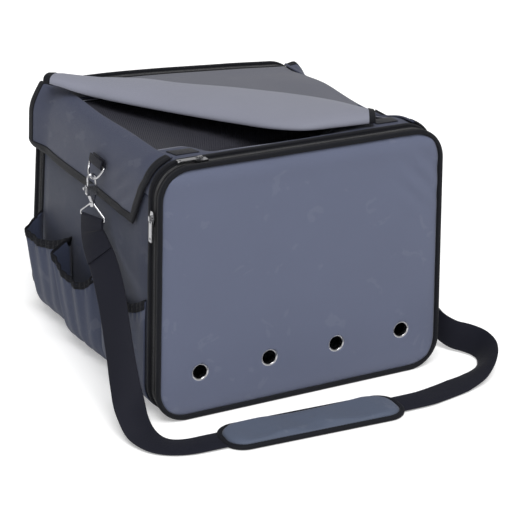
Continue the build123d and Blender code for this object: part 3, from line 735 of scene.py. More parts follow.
def plate_group():
    """Bright plating with faint smears, fine scratches and darker spots where the smears are strongest."""
    tree, w, source, target = new_group(
        "plated_wear",
        [("Vector", "Vector", None), ("Color", "Color", (0.7, 0.7, 0.7, 1))],
        [("Color", "Color"), ("Roughness", "Float"), ("Height", "Float")],
    )
    smears = w.noise(source["Vector"], 160.0, 4.0)
    stretch = w.add("ShaderNodeMapping")
    w.give(stretch, {"Vector": source["Vector"], "Scale": (1.0, 0.15, 0.4)})
    scratches = w.noise(stretch.outputs[0], 900.0)
    # Darker spots where the smear noise is strongest
    dark_spots = w.math("GREATER_THAN", smears, 0.66)
    w.give(target, {
        "Color": w.blend(w.math("MULTIPLY", dark_spots, 0.55), source["Color"], (0.10, 0.10, 0.11, 1.0)),
        "Roughness": w.math("ADD", 0.12, w.math("MULTIPLY", smears, 0.22)),
        "Height": scratches,
    })
    return tree


# Materials
GROUPS = {}
MATERIALS = {}


def place_group(w, maker, vector, **values):
    """Add a node group, made when it is first asked for, and read it at a vector."""
    if maker not in GROUPS:
        GROUPS[maker] = maker()
    node = w.add("ShaderNodeGroup", node_tree=GROUPS[maker])
    w.give(node, {"Vector": vector, **{name.replace("_", " "): value for name, value in values.items()}})
    return node.outputs


def made_once(maker):
    """Let a material's maker hand out again what it has made under the same name."""
    def get(name, *colour, **values):
        if name not in MATERIALS:
            MATERIALS[name] = maker(name, *colour, **values)
        return MATERIALS[name]

    return get


def start_material(name):
    """A new material, its wiring, its shader and its texture coordinates."""
    material = bpy.data.materials.new(name)
    material.use_nodes = True
    w = Wiring(material.node_tree)
    shader = next(node for node in w.nodes if node.type == "BSDF_PRINCIPLED")
    return material, w, shader, w.add("ShaderNodeTexCoord").outputs


@made_once
def cloth(
    name,
    colour,
    threads=1500.0,
    ribs=0.0,
    depth=0.00012,
    unevenness=0.10,
    rubbed=0.0,
    sheen=0.10,
    soft=0.0,
    gloss=0.18,
):
    """Woven cloth on a piece's UV map: plain weave, or slanting ribs for webbing and binding."""
    material, w, shader, coordinates = start_material(name)
    spot = coordinates["UV"]
    tone = place_group(w, tone_group, spot, Color=(*colour, 1.0), Unevenness=unevenness, Rubbed=rubbed)
    if ribs:
        weave = place_group(w, rib_group, spot, Ribs_per_metre=ribs)["Height"]
    else:
        weave = place_group(w, weave_group, spot, Threads_per_metre=threads)["Height"]
    shade = w.math("ADD", 0.90, w.math("MULTIPLY", weave, 0.16))
    w.give(shader, {
        "Base Color": w.scale(tone["Color"], shade),
        "Roughness": tone["Roughness"],
        "Normal": w.bump(tone["Height"], 0.0012 + soft, 0.25, w.bump(weave, depth, 0.6)),
        "Sheen Weight": sheen,
        "Sheen Roughness": 0.45,
        "Specular IOR Level": gloss,
    })
    return material


def binding_cloth(colours):
    """The black ribbed tape that binds the saddles, the window, the cover flap and the pad."""
    return cloth("binding_tape", colours.binding, ribs=900.0, depth=0.0002, sheen=0.04, gloss=0.10)


def webbing_cloth(colours):
    """The strap's heavy twilled webbing."""
    return cloth(
        "webbing", colours.webbing, ribs=620.0, depth=0.0003, unevenness=0.18, sheen=0.04, gloss=0.10
    )


@made_once
def net(name, colour):
    """Mesh cloth whose holes are open."""
    material, w, shader, coordinates = start_material(name)
    holes = place_group(w, net_group, coordinates["UV"])
    tone = place_group(w, tone_group, coordinates["UV"], Color=(*colour, 1.0), Unevenness=0.2, Rubbed=0.0)
    w.give(shader, {
        "Base Color": tone["Color"],
        "Roughness": tone["Roughness"],
        "Alpha": holes["Thread"],
        "Normal": w.bump(holes["Height"], 0.0004),
        "Specular IOR Level": 0.3,
    })
    return material


@made_once
def plated(name, colour):
    """Nickel plate on the metal parts, read in their own place."""
    material, w, shader, coordinates = start_material(name)
    wear = place_group(w, plate_group, coordinates["Object"], Color=(*colour, 1.0))
    w.give(shader, {
        "Base Color": wear["Color"],
        "Roughness": wear["Roughness"],
        "Normal": w.bump(wear["Height"], 0.00003),
        "Metallic": 1.0,
    })
    return material


@made_once
def moulded(name, colour, roughness=0.4):
    """Nylon or board with a fine moulded grain, read in its own place."""
    material, w, shader, coordinates = start_material(name)
    spot = coordinates["Object"]
    tone = place_group(w, tone_group, spot, Color=(*colour, 1.0), Unevenness=0.15, Rubbed=0.0)
    w.give(shader, {
        "Base Color": tone["Color"],
        "Normal": w.bump(w.noise(spot, 600.0), 0.00005),
        "Roughness": roughness,
    })
    return material


# Forms shared by several pieces
def ring(name, end, depths, rise, stations, sides, square=3.0, wander=0.0, rib=None, seed=0.0):
    """A band right round an end, between two depths and two insets, its section a rounded square."""
    line = Outline((rise[0] + rise[1]) / 2)
    deep, half_deep = (depths[0] + depths[1]) / 2, (depths[1] - depths[0]) / 2
    half_rise = (rise[1] - rise[0]) / 2

    def place(u, v):
        x, z, out_x, out_z = line.at(u * line.length)
        c, s, reach = rounded_square(v, square)
        proud = half_rise * s * reach
        if rib and s > 0:
            proud += rib[0] * math.cos(2 * math.pi * (u * line.length / rib[1] + seed)) * s
        sway = wander * ripple(x, 0, z, 0.05, seed)
        px, pz = x + out_x * (proud + sway), z + out_z * (proud + sway)
        pz = max(pz, 0.0)
        return Vector((px, end_y(end, pz, deep + half_deep * c * reach + sway), pz))

    around = 4 * (half_deep + half_rise)
    return surface(name, stations, sides, place, (line.length, around), closed=True)


def ribbon(name, points, edges, width, thickness, half_sides=3):
    """Flat webbing along points, its width along edges, with rounded selvedges."""
    section = []
    for side in (1, -1):
        for k in range(half_sides + 1):
            angle = math.pi * (k / half_sides - 0.5)
            reach = width / 2 - thickness / 2 + thickness / 2 * math.cos(angle)
            section.append((side * reach, side * thickness / 2 * math.sin(angle)))
    frames = []
    for k, point in enumerate(points):
        ahead = points[min(k + 1, len(points) - 1)] - points[max(k - 1, 0)]
        along = ahead.normalized()
        edge = (edges[k] - along * edges[k].dot(along)).normalized()
        frames.append((point, edge, along.cross(edge)))
    count = len(section)
    travelled = [0.0]
    for a, b in zip(points, points[1:]):
        travelled.append(travelled[-1] + (b - a).length)

    def place(u, v):
        k = min(int(round(u * (len(points) - 1))), len(points) - 1)
        j = int(round(v * count)) % count
        point, edge, lift = frames[k]
        return point + edge * section[j][0] + lift * section[j][1]

    bm = bmesh.new()
    bmesh.ops.create_grid(bm, x_segments=len(points) - 1, y_segments=count, size=0.5)
    layer = bm.loops.layers.uv.new("UVMap")
    for face in bm.faces:
        for loop in face.loops:
            u, v = loop.vert.co.x + 0.5, loop.vert.co.y + 0.5
            k = int(round(u * (len(points) - 1)))
            j = int(round(v * count)) % count
            loop[layer].uv = (section[j][0] + (0 if v < 0.5 else 3 * width), travelled[k])
    for vert in bm.verts:
        vert.co = place(clamp(vert.co.x + 0.5), clamp(vert.co.y + 0.5))
    bmesh.ops.remove_doubles(bm, verts=bm.verts[:], dist=1e-6)
    close_holes(bm)
    return new_object(name, bm)


def stitches(name, runs, pitch, body):
    """Rows of thread: each run is a list of (point, outward) pairs, stitched at a steady pitch."""
    bm = bmesh.new()
    for run in runs:
        spare = pitch / 2
        for (a, out_a), (b, _) in zip(run, run[1:]):
            step = b - a
            gone = spare
            while gone <= step.length:
                centre = a + step * (gone / step.length)
                along = step.normalized()
                side = out_a.cross(along).normalized()
                lift = along.cross(side)
                turn = Matrix((along, side, lift)).transposed().to_4x4()
                grow = Matrix.Diagonal((STITCH_LENGTH / 2, STITCH_WIDTH / 2, STITCH_WIDTH / 2, 1))
                bmesh.ops.create_icosphere(
                    bm, subdivisions=1, radius=1.0, matrix=Matrix.Translation(centre) @ turn @ grow
                )
                gone += pitch
            spare = gone - step.length
    dress(new_object(name, bm), body, "black_binding", moulded("thread_black_binding", THREAD, 0.6))


def add_block(bm, middle, size):
    """Add a box to a mesh."""
    place = Matrix.Translation(middle) @ Matrix.Diagonal((*size, 1))
    bmesh.ops.create_cube(bm, size=1.0, matrix=place)


def soften(bm, radius, steps):
    """Round every edge of a mesh."""
    bmesh.ops.bevel(
        bm, geom=bm.edges[:], offset=radius, segments=steps, profile=0.5, affect="EDGES", material=-1
    )


# Strap route
def strap_centreline():
    """The strap's smooth line, read from a curve through its chosen points."""
    curve = bpy.data.curves.new("strap_line", "CURVE")
    curve.dimensions = "3D"
    spline = curve.splines.new("NURBS")
    spline.points.add(len(STRAP_ROUTE) - 1)
    for point, place in zip(spline.points, STRAP_ROUTE):
        point.co = (*place, 1.0)
    spline.order_u = 3
    spline.use_endpoint_u = True
    spline.resolution_u = 12
    holder = bpy.data.objects.new("strap_line", curve)
    bpy.context.scene.collection.objects.link(holder)
    bpy.context.view_layer.update()
    mesh = bpy.data.meshes.new_from_object(holder)
    points = [vertex.co.copy() for vertex in mesh.vertices]
    bpy.data.objects.remove(holder)
    return points


def strap_edge_at(share, marks):
    """Which way the strap's width lies at a share of its length."""
    k = max(j for j in range(len(marks) - 1) if marks[j] <= share)
    inner = clamp((share - marks[k]) / (marks[k + 1] - marks[k]))
    return Vector(STRAP_EDGES[k]).lerp(Vector(STRAP_EDGES[k + 1]), inner)


def pad_point(x, y, z):
    """A point of the pad's own plan, put where the pad lies."""
    turned = Matrix.Rotation(PAD_TURN, 4, "Z") @ Vector((x, y, z))
    return turned + PAD_PLACE


def rounded_plan(angle_share, half_x, half_y, corner):
    """A point round a rounded rectangle and its outward direction."""
    straight_x, straight_y = 2 * (half_x - corner), 2 * (half_y - corner)
    quarter = math.pi * corner / 2
    walk = (angle_share % 1.0) * (2 * straight_x + 2 * straight_y + 4 * quarter)
    sides = [
        (straight_x, Vector((-half_x + corner, -half_y)), Vector((1, 0))),
        (straight_y, Vector((half_x, -half_y + corner)), Vector((0, 1))),
        (straight_x, Vector((half_x - corner, half_y)), Vector((-1, 0))),
        (straight_y, Vector((-half_x, half_y - corner)), Vector((0, -1))),
    ]
    for length, start, way in sides:
        if walk <= length:
            return start + way * walk, Vector((way.y, -way.x))
        walk -= length
        end = start + way * length
        inward = Vector((-way.y, way.x))
        if walk <= quarter:
            turned = walk / corner
            out = -inward * math.cos(turned) + way * math.sin(turned)
            return end + inward * corner + out * corner, out
        walk -= quarter
    return sides[0][1], Vector((0, -1))


class BAG_OT_stage(bpy.types.Operator):
    """Put up the pale floor, the soft studio light and the camera"""

    bl_idname = "bag.stage"
    bl_label = "Stage, light and camera"

    def execute(self, context):
        self.camera(context)
        self.floor()
        self.world(context)
        self.lamp("key_light", KEY_STRENGTH, KEY_SPREAD, KEY_LIGHT)
        return {"FINISHED"}

    def camera(self, context):
        """The camera that sees the bag as the photograph does."""
        azimuth, elevation, roll = (math.radians(value) for value in CAMERA_TURN)
        back = Vector((
            math.sin(azimuth) * math.cos(elevation),
            -math.cos(azimuth) * math.cos(elevation),
            math.sin(elevation),
        ))
        right = Vector((math.cos(azimuth), math.sin(azimuth), 0))
        up = back.cross(right)
        c, s = math.cos(roll), math.sin(roll)
        across, upright = right * c + up * s, up * c - right * s
        data = bpy.data.cameras.new("photo_camera")
        data.sensor_width = 36
        data.lens = CAMERA_LENS
        data.clip_end = 50
        camera = bpy.data.objects.new("photo_camera", data)
        context.scene.collection.objects.link(camera)
        turn = Matrix((across, upright, back)).transposed().to_4x4()
        camera.matrix_world = Matrix.Translation(CAMERA_PLACE) @ turn
        context.scene.camera = camera

    def floor(self):
        """A pale sheet that glows a little to the camera, as the photograph's blank ground does."""
        bm = bmesh.new()
        bmesh.ops.create_grid(bm, x_segments=1, y_segments=1, size=6)
        floor = new_object("studio_floor", bm)
        floor.location.z = -0.0002
        material = bpy.data.materials.new("floor_paper")
        material.use_nodes = True
        w = Wiring(material.node_tree)
        shader = next(node for node in w.nodes if node.type == "BSDF_PRINCIPLED")
        seen = w.add("ShaderNodeLightPath").outputs["Is Camera Ray"]
        w.give(shader, {
            "Roughness": 0.9,
            "Base Color": (0.86, 0.86, 0.86, 1),
            "Emission Color": (1, 1, 1, 1),
            "Emission Strength": w.math("MULTIPLY", seen, FLOOR_GLOW),
        })
        floor.data.materials.append(material)
        floor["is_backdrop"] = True

    def world(self, context):
        """White all round, and dimmer for light that falls on the bag than for the view."""
        world = bpy.data.worlds.new("studio")
        world.use_nodes = True
        w = Wiring(world.node_tree)
        shader = next(node for node in w.nodes if node.type == "BACKGROUND")
        ray = w.add("ShaderNodeLightPath").outputs
        seen = w.math("MAXIMUM", ray["Is Camera Ray"], ray["Is Transmission Ray"])
        strength = w.math("ADD", AMBIENT, w.math("MULTIPLY", seen, 1 - AMBIENT))
        w.give(shader, {"Color": (1, 1, 1, 1), "Strength": strength})
        context.scene.world = world
        context.scene.view_settings.view_transform = "Standard"

    def lamp(self, name, strength, spread, towards):
        """A soft far light that shines from one direction."""
        data = bpy.data.lights.new(name, "SUN")
        data.energy = strength
        data.angle = math.radians(spread)
        lamp = bpy.data.objects.new(name, data)
        bpy.context.scene.collection.objects.link(lamp)
        lamp.matrix_world = Vector(towards).to_track_quat("Z", "Y").to_matrix().to_4x4()


class BAG_OT_strap(bpy.types.Operator):
    """Lay the shoulder strap along its chosen route and fold its ends round the hook eyes"""

    bl_idname = "bag.strap"
    bl_label = "Shoulder strap"

    def execute(self, context):
        colours = context.scene.bag_colours
        points = strap_centreline()
        lengths = [0.0]
        for a, b in zip(points, points[1:]):
            lengths.append(lengths[-1] + (b - a).length)
        legs = [(Vector(b) - Vector(a)).length for a, b in zip(STRAP_ROUTE, STRAP_ROUTE[1:])]
        marks = [sum(legs[:k]) / sum(legs) for k in range(len(STRAP_ROUTE))]
        edges = [strap_edge_at(length / lengths[-1], marks) for length in lengths]
        webbing = webbing_cloth(colours)
        strap = ribbon("strap_webbing", points, edges, WEBBING, WEBBING_THICK)
        dress(strap, "bag", "webbing", webbing, "shoulder_strap")
        tuple(points[0])
        [tuple(point) for point in points]
        self.fold("left", -1, points, edges, webbing)
        self.fold("right", 1, points[::-1], edges[::-1], webbing)
        return {"FINISHED"}

    def fold(self, side, way, points, edges, webbing):
        """The doubled end: over the eye's bar, then sewn down the outside of the strap."""
        bar = Vector((way * HOOK_X, RING_Y, STRAP_TOP + EYE_BAR_RISE))
        axis = Vector((way * math.sin(EYE_TURN), math.cos(EYE_TURN), 0))
        out = Vector((way * math.cos(EYE_TURN), -math.sin(EYE_TURN), 0))
        path = [bar - out * FOLD_RADIUS + Vector((0, 0, -0.003)), bar - out * FOLD_RADIUS]
        for k in range(1, 9):
            angle = math.pi * k / 8
            turned = out * -math.cos(angle) + Vector((0, 0, math.sin(angle)))
            path.append(bar + turned * FOLD_RADIUS)
        across = [axis] * len(path)
        reach = 0.0
        for k in range(1, len(points)):
            reach += (points[k] - points[k - 1]).length
            if reach < FOLD_START:
                continue
            if reach > FOLD_END:
                break
            along = (points[k + 1] - points[k - 1]).normalized()
            edge = (edges[k] - along * edges[k].dot(along)).normalized()
            if edge.dot(axis) < 0:
                edge.negate()
            lift = along.cross(edge)
            if lift.dot(out) < 0:
                lift.negate()
            path.append(points[k] + lift * (WEBBING_THICK + 0.0002))
            across.append(edge)
        tail = ribbon(f"{side}_strap_fold", path, across, WEBBING - 0.0006, 0.0018)
        dress(tail, "bag", "webbing", webbing)


class BAG_OT_pad(bpy.types.Operator):
    """Make the shoulder pad: a filled cushion with creases, and its bound edge"""

    bl_idname = "bag.pad"
    bl_label = "Shoulder pad"

    def execute(self, context):
        colours = context.scene.bag_colours
        half_x, half_y = PAD_LENGTH / 2, PAD_WIDTH / 2
        drawn = PAD_BOUND * 0.6

        def place(u, v):
            grown = 1 - abs(2 * v - 1)
            rim, _ = rounded_plan(u, half_x - drawn, half_y - drawn, PAD_CORNER - drawn)
            core = rim * (1 - grown * 0.999)
            top = quarter_rise((rim - core).length / PAD_ROLL)
            crease = PAD_CREASE * math.sin(core.x * 92 + core.y * 38) * ease(grown * 3.0)
            crease += 0.0005 * ripple(core.x, core.y, 0, 0.018, 2)
            if v >= 0.5:
                height = mix(PAD_EDGE * 0.55, PAD_THICK, top) + crease * top
            else:
                height = mix(PAD_EDGE * 0.55, 0.0006, top)
            return pad_point(core.x, core.y, PAD_FLOOR + height)

        pad = surface("shoulder_pad_cloth", 180, 36, place, (0.55, 0.12), closed=True)
        flat_uv(pad, (0, 1))
        nylon = cloth("pad_nylon", colours.pad, rubbed=0.05)
        dress(pad, "shoulder_pad", "pad_nylon", nylon, "shoulder_pad")

        def edge(u, v):
            c, s, reach = rounded_square(v, 3)
            middle = PAD_BOUND / 2
            rim, out = rounded_plan(u, half_x - middle, half_y - middle, PAD_CORNER - middle)
            spot = rim + out * (middle * c * reach)
            half_height = PAD_EDGE / 2 + 0.0003
            return pad_point(spot.x, spot.y, PAD_FLOOR + half_height + half_height * s * reach)

        binding = surface("shoulder_pad_edge", 220, 12, edge, (0.56, 0.02), closed=True)
        dress(binding, "shoulder_pad", "black_binding", binding_cloth(colours), "shoulder_pad_binding")
        return {"FINISHED"}


class BAG_OT_end_bands(bpy.types.Operator):
    """Run the pipings, zip tapes and toothed coils round both ends"""

    bl_idname = "bag.end_bands"
    bl_label = "Pipings and zips"

    def execute(self, context):
        shape, colours = context.scene.bag_shape, context.scene.bag_colours
        piping = cloth("piping_tape", colours.binding, ribs=1100.0, depth=0.0003, sheen=0.05, gloss=0.10)
        dark = tuple(0.8 * c for c in colours.binding)
        tape = cloth("zip_tape_weave", dark, ribs=1300.0, depth=0.0002, sheen=0.02, gloss=0.08)
        coil = moulded("coil_nylon", (0.012, 0.012, 0.014), 0.32)
        for end in ("front", "back"):
            door = f"{end}_door"
            for body, who, low, high in ((door, "door", 0.0, PIPING), ("bag", "body", BODY_TAPE, BAND)):
                name, wander = f"{end}_{who}_edge", 0.0003
                band = ring(name, end, (low, high), PIPING_RISE, 420, 16, 2.8, wander, seed=low * 90)
                dress(band, body, "black_piping", piping, f"{end}_{who}_piping")
            for body, who, low, high in (
                (door, "door", PIPING - PIPING_LAP, DOOR_TAPE + COIL_LAP),
                ("bag", "body", BODY_COIL_END - COIL_LAP, BODY_TAPE + PIPING_LAP),
            ):
                strip = ring(f"{end}_{who}_tape", end, (low, high), TAPE_RISE, 320, 8, 6.0)
                dress(strip, body, "zip_tape", tape, f"{end}_{who}_zip_tape")
            stations = int(Outline(sum(COIL_RISE) / 2).length / shape.coil_pitch * 5)
            for body, who, low, high, seed in (
                (door, "door", DOOR_TAPE, DOOR_COIL, 0.0),
                ("bag", "body", BODY_COIL, BODY_COIL_END, 0.5),
            ):
                name, rib = f"{end}_{who}_teeth", (TOOTH_HEIGHT, shape.coil_pitch)
                teeth = ring(name, end, (low, high), COIL_RISE, stations, 6, 2.2, rib=rib, seed=seed)
                dress(teeth, body, "zip_coil", coil, f"{end}_{who}_zip_coil")
        return {"FINISHED"}


class BAG_OT_end_panels(bpy.types.Operator):
    """Pad out the front panel, with its eyelet holes, and the back panel"""

    bl_idname = "bag.end_panels"
    bl_label = "End panels"

    def execute(self, context):
        shape, colours = context.scene.bag_shape, context.scene.bag_colours
        nylon = cloth("panel_nylon", colours.panel, rubbed=0.04, unevenness=0.09, sheen=0.14)
        low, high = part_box("eyelets")
        radius = (high.z - low.z) / 2
        centre_z = (high.z + low.z) / 2
        span = (high.x - low.x) - 2 * radius
        holes = [Vector((low.x + radius + span * k / 3, 0, centre_z)) for k in range(4)]
        line = Outline(PANEL_INSET)
        middle = HEIGHT / 2
        for end in ("front", "back"):
            def place(u, v, end=end):
                x, z, _, _ = line.at(u * line.length)
                x, z = x * (1 - v), middle + (z - middle) * (1 - v)
                edge = min(half_width(z, PANEL_SEAM) - abs(x), z - PANEL_SEAM, HEIGHT - PANEL_SEAM - z)
                rise = 1 - math.exp(-max(edge, 0) / (shape.panel_roll * 0.5))
                soft = 0.0012 * ripple(x, 0, z, 0.13, 4) * rise
                soft += 0.0004 * ripple(x, 0, z, 0.05, 9) * rise
                soft += 0.0011 * bell(x, 0.165, 0.03) * bell(z, 0.262, 0.04) * math.sin((x + z) * 190)
                top_roll = 0.0012 * bell(z, HEIGHT - 0.020, 0.012)
                depth = PANEL_THICK - (shape.panel_crown + top_roll) * rise - soft
                return Vector((x, end_y(end, z, depth), z))

            panel = surface(f"{end}_panel_cloth", 300, 64, place, (1, 1))
            if end == "front":
                self.pierce(panel, holes, EYELET_HOLE)
            flat_uv(panel, (0, 2))
            thicken(panel, PANEL_THICK)
            dress(panel, f"{end}_door", "panel_nylon", nylon, f"{end}_door_panel")
        return {"FINISHED"}

    def pierce(self, panel, holes, radius):
        """Open a round hole in the cloth under each eyelet's flange."""
        bm = bmesh.new()
        bm.from_mesh(panel.data)
        for hole in holes:
            def away(vert):
                return math.hypot(vert.co.x - hole.x, vert.co.z - hole.z)

            gone = [face for face in bm.faces if all(away(vert) < radius for vert in face.verts)]
            bmesh.ops.delete(bm, geom=gone, context="FACES")
            for vert in bm.verts:
                if vert.is_boundary and away(vert) < 2.2 * radius:
                    reach = away(vert)
                    vert.co.x = hole.x + (vert.co.x - hole.x) * radius / reach
                    vert.co.z = hole.z + (vert.co.z - hole.z) * radius / reach
        bm.to_mesh(panel.data)
        bm.free()


class BAG_OT_walls(bpy.types.Operator):
    """Hang the side, base and roof cloth between the two ends"""

    bl_idname = "bag.walls"
    bl_label = "Walls"

    def execute(self, context):
        shape, colours = context.scene.bag_shape, context.scene.bag_colours
        line = Outline(WALL_INSET)
        side_start, side_end = line.marks[1], line.marks[3]
        whole = line.length
        # The side colour holds painted shade besides the nylon's own colour, and the base cloth takes half of
        # it
        side = cloth("side_nylon", colours.side, rubbed=0.03)
        base = cloth("base_nylon", tuple(0.5 * c for c in colours.side), threads=900.0, depth=0.0003)
        roof = cloth("roof_nylon", colours.saddle, rubbed=0.03)

        def wall(start, stop, seed, lift):
            def place(u, v):
                x, z, out_x, out_z = line.at(mix(start, stop, v))
                front, rear = end_y("front", z, BAND - WALL_TUCK), end_y("back", z, BAND - WALL_TUCK)
                y = mix(front, rear, u)
                inside = ease(u * 12) * ease((1 - u) * 12)
                swell = lift * inside * bell(z, 0.19, 0.035)
                swell += shape.wall_ripple * inside * ripple(x, y, z, 0.07, seed)
                swell += 0.0005 * inside * ripple(x, y * 0.4, z, 0.022, seed + 3) - 0.0008
                return Vector((x + out_x * swell, y, max(z + out_z * swell, 0.0012)))
            return place

        size = (0.37, 0.32)
        for name, start, stop, seed in (
            ("right", side_start, side_end, 1.3),
            ("left", whole - side_start, whole - side_end, 5.1),
        ):
            piece = surface(f"{name}_side_cloth", 90, 80, wall(start, stop, seed, WALL_SWELL), size)
            thicken(piece, WALL_THICK)
            dress(piece, "bag", "side_nylon", side, f"{name}_side_panel")
        floor = surface("base_cloth", 80, 60, wall(-side_start, side_start, 7.7, 0.0), size)
        thicken(floor, WALL_THICK)
        dress(floor, "bag", "base_nylon", base, "bottom_panel")

        top_left = whole - side_end
        window_x = WINDOW_HIGH.x + SEAM_CLEAR
        front_edge, back_edge = WINDOW_LOW.y - SEAM_CLEAR, WINDOW_HIGH.y + SEAM_CLEAR
        edge_low = line.height(line.at(side_end)[1])
        while line.at(edge_low)[0] > window_x:
            edge_low += 0.0005
        edge_share = (edge_low - side_end) / (top_left - side_end)

        def stretch(share, first, second):
            """Put grid lines on two given shares."""
            if share < 0.2:
                return share / 0.2 * first
            if share > 0.8:
                return mix(second, 1.0, (share - 0.8) / 0.2)
            return mix(first, second, (share - 0.2) / 0.6)

        def roof_place(u, v):
            around = stretch(v, edge_share, 1 - edge_share)
            x, z, out_x, out_z = line.at(mix(side_end, top_left, around))
            front, rear = end_y("front", z, BAND - WALL_TUCK), end_y("back", z, BAND - WALL_TUCK)
            first = (front_edge - front) / (rear - front)
            second = (back_edge - front) / (rear - front)
            y = mix(front, rear, stretch(u, first, second))
            drop = 0.0012 * ease(abs(out_z)) * ripple(x, y, 0, 0.05, 2.2)
            return Vector((x + out_x * drop, y, z + out_z * drop))

        def in_window(point):
            inside_x = abs(point.x) < window_x - 0.0006
            return inside_x and front_edge + 0.0006 < point.y < back_edge - 0.0006

        top = surface("roof_cloth", 80, 90, roof_place, (0.33, 0.43), cut=in_window)
        flat_uv(top, (0, 1))
        thicken(top, WALL_THICK)
        dress(top, "bag", "roof_nylon", roof, "roof_panel")
        return {"FINISHED"}


def sunk(x, y, z):
    """How far the unsupported roof has sunk towards the back and the right, as the photograph shows."""
    middle = ROOF_SINK * rising(x, -0.12, 0.19) * rising(y, -0.165, -0.095)
    corner = CORNER_SINK * rising(x, 0.08, 0.18) * rising(y, 0.02, 0.14)
    return (middle + corner) * rising(z, 0.21, 0.32)


def border_dip(x, y, z):
    """How far the roof's front border falls away behind the piping."""
    if z < ROOF_FOOT:
        return 0.0
    across = rising(x, -0.128, -0.083) * falling(x, 0.045, 0.100)
    return BORDER_DIP * across * rising(y, -0.184, -0.150) * falling(y, -0.146, -0.046)


def edge_pull(x, y, z):
    """How far the window's left edge is drawn towards the saddle."""
    pull = EDGE_PULL_FRONT + EDGE_PULL_MORE * rising(y, -0.09, 0.03)
    near = rising(x, -0.200, -0.166) * falling(x, -0.150, -0.075)
    return pull * near * rising(y, -0.180, -0.150) * rising(z, ROOF_FOOT, ROOF_FOOT + 0.03)


class BAG_OT_window(bpy.types.Operator):
    """Stretch the mesh window, bind its edge and put down the two hook patches"""

    bl_idname = "bag.window"
    bl_label = "Mesh window"

    def execute(self, context):
        shape, colours = context.scene.bag_shape, context.scene.bag_colours
        low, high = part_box("mesh_window")
        level = (low.z + high.z) / 2

        def sag(x, y):
            across = clamp((x - low.x) / (high.x - low.x))
            along = clamp((y - low.y) / (high.y - low.y))
            bowl = 16 * across * (1 - across) * along * (1 - along)
            fold = MESH_FOLD * bell(y, 0.12 * x - 0.098, 0.009)
            fold *= ease(across * 3) * ease(3 - 3 * across)
            return shape.mesh_sag * math.sqrt(max(bowl, 0)) + fold

        def place(u, v):
            x = mix(low.x - MESH_RIM, high.x + MESH_RIM, u)
            y = mix(low.y - MESH_RIM, high.y + MESH_RIM, v)
            return Vector((x, y, level - sag(x, y) + 0.0004 * ripple(x, y, 0, 0.03)))

        mesh = surface("window_net", 90, 70, place, (0.31, 0.22))
        dress(mesh, "bag", "black_mesh", net("black_net", (0.042, 0.042, 0.054)), "mesh_window")

        half_x, half_y = WINDOW_HIGH.x, (WINDOW_HIGH.y - WINDOW_LOW.y) / 2
        middle_y = (WINDOW_HIGH.y + WINDOW_LOW.y) / 2

        def hem(u, v):
            c, s, reach = rounded_square(v, 4)
            spot, out = rounded_plan(u, half_x - HEM_INSET, half_y - HEM_INSET, 0.006)
            spot = spot + out * (HEM_HALF_WIDTH * c * reach)
            height = (WINDOW_LOW.z + WINDOW_HIGH.z) / 2 + HEM_HALF_HEIGHT * s * reach
            return Vector((spot.x, spot.y + middle_y, height))

        binding = binding_cloth(colours)
        edge = surface("window_binding", 320, 12, hem, (1.1, 0.02), closed=True)
        dress(edge, "bag", "black_binding", binding, "window_hem")
        self.selvedge(half_x, half_y, middle_y, colours)
        self.patches()
        return {"FINISHED"}

    def selvedge(self, half_x, half_y, middle_y, colours):
        """The thin pale cord sewn along the hem's inner edge."""

        def cord(u, v):
            angle = 2 * math.pi * v
            spot, out = rounded_plan(u, half_x - SELVEDGE_INSET, half_y - SELVEDGE_INSET, 0.004)
            spot = spot + out * (SELVEDGE_RADIUS * math.cos(angle))
            height = WINDOW_HIGH.z + 0.0004 + SELVEDGE_RADIUS * math.sin(angle)
            return Vector((spot.x, spot.y + middle_y, height))

        piece = surface("window_selvedge", 320, 8, cord, (1.1, 0.008), closed=True)
        pale = cloth("pale_edge", tuple(0.9 * c for c in colours.flap), ribs=900.0)
        dress(piece, "bag", "roof_nylon", pale)

    def patches(self):
        """The two hook patches on the roof's front border."""
        low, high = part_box("velcro_patches")
        bm = bmesh.new()
        for side in (-1, 1):
            middle = Vector((side * (high.x - PATCH_WIDTH / 2), (low.y + high.y) / 2, (low.z + high.z) / 2))
            size = Vector((PATCH_WIDTH, high.y - low.y, high.z - low.z))
            add_block(bm, middle, size)
        soften(bm, 0.0006, 2)
        patch = new_object("hook_patches", bm)
        flat_uv(patch, (0, 1))
        tape = cloth("hook_tape", (0.014, 0.0145, 0.02), threads=700.0, depth=0.0006)
        dress(patch, "bag", "hook_tape", tape, "velcro_patches")


def saddle_front(z):
    """Where a saddle's slanting front edge stands at height z."""
    if z >= SADDLE_SHOULDER:
        return SADDLE_TOP_FRONT
    return mix(SADDLE_FRONT, SADDLE_TOP_FRONT, (z - SADDLE_FOOT) / (SADDLE_SHOULDER - SADDLE_FOOT))


def saddle_back(x, z):
    """Where a saddle's back edge stands: over the zip on the side, behind the band on the roof."""
    low = end_y("back", z, PIPING + 0.0015)
    high = end_y("back", z, BAND + SEAM_CLEAR)
    over = ease((half_width(z) - CORNER + 0.026 - abs(x)) / 0.022) if z > ROOF_FOOT else 0.0
    return mix(low, high, over)


# The line round the bag that the saddles lie on, from their hanging edges to the window
SADDLE_LINE = Outline(-0.0004)
SADDLE_LOW = SADDLE_LINE.height(SADDLE_FOOT)
SADDLE_HIGH = SADDLE_LOW
while SADDLE_LINE.at(SADDLE_HIGH)[0] > WINDOW_HIGH.x + 0.0008:
    SADDLE_HIGH += 0.0004


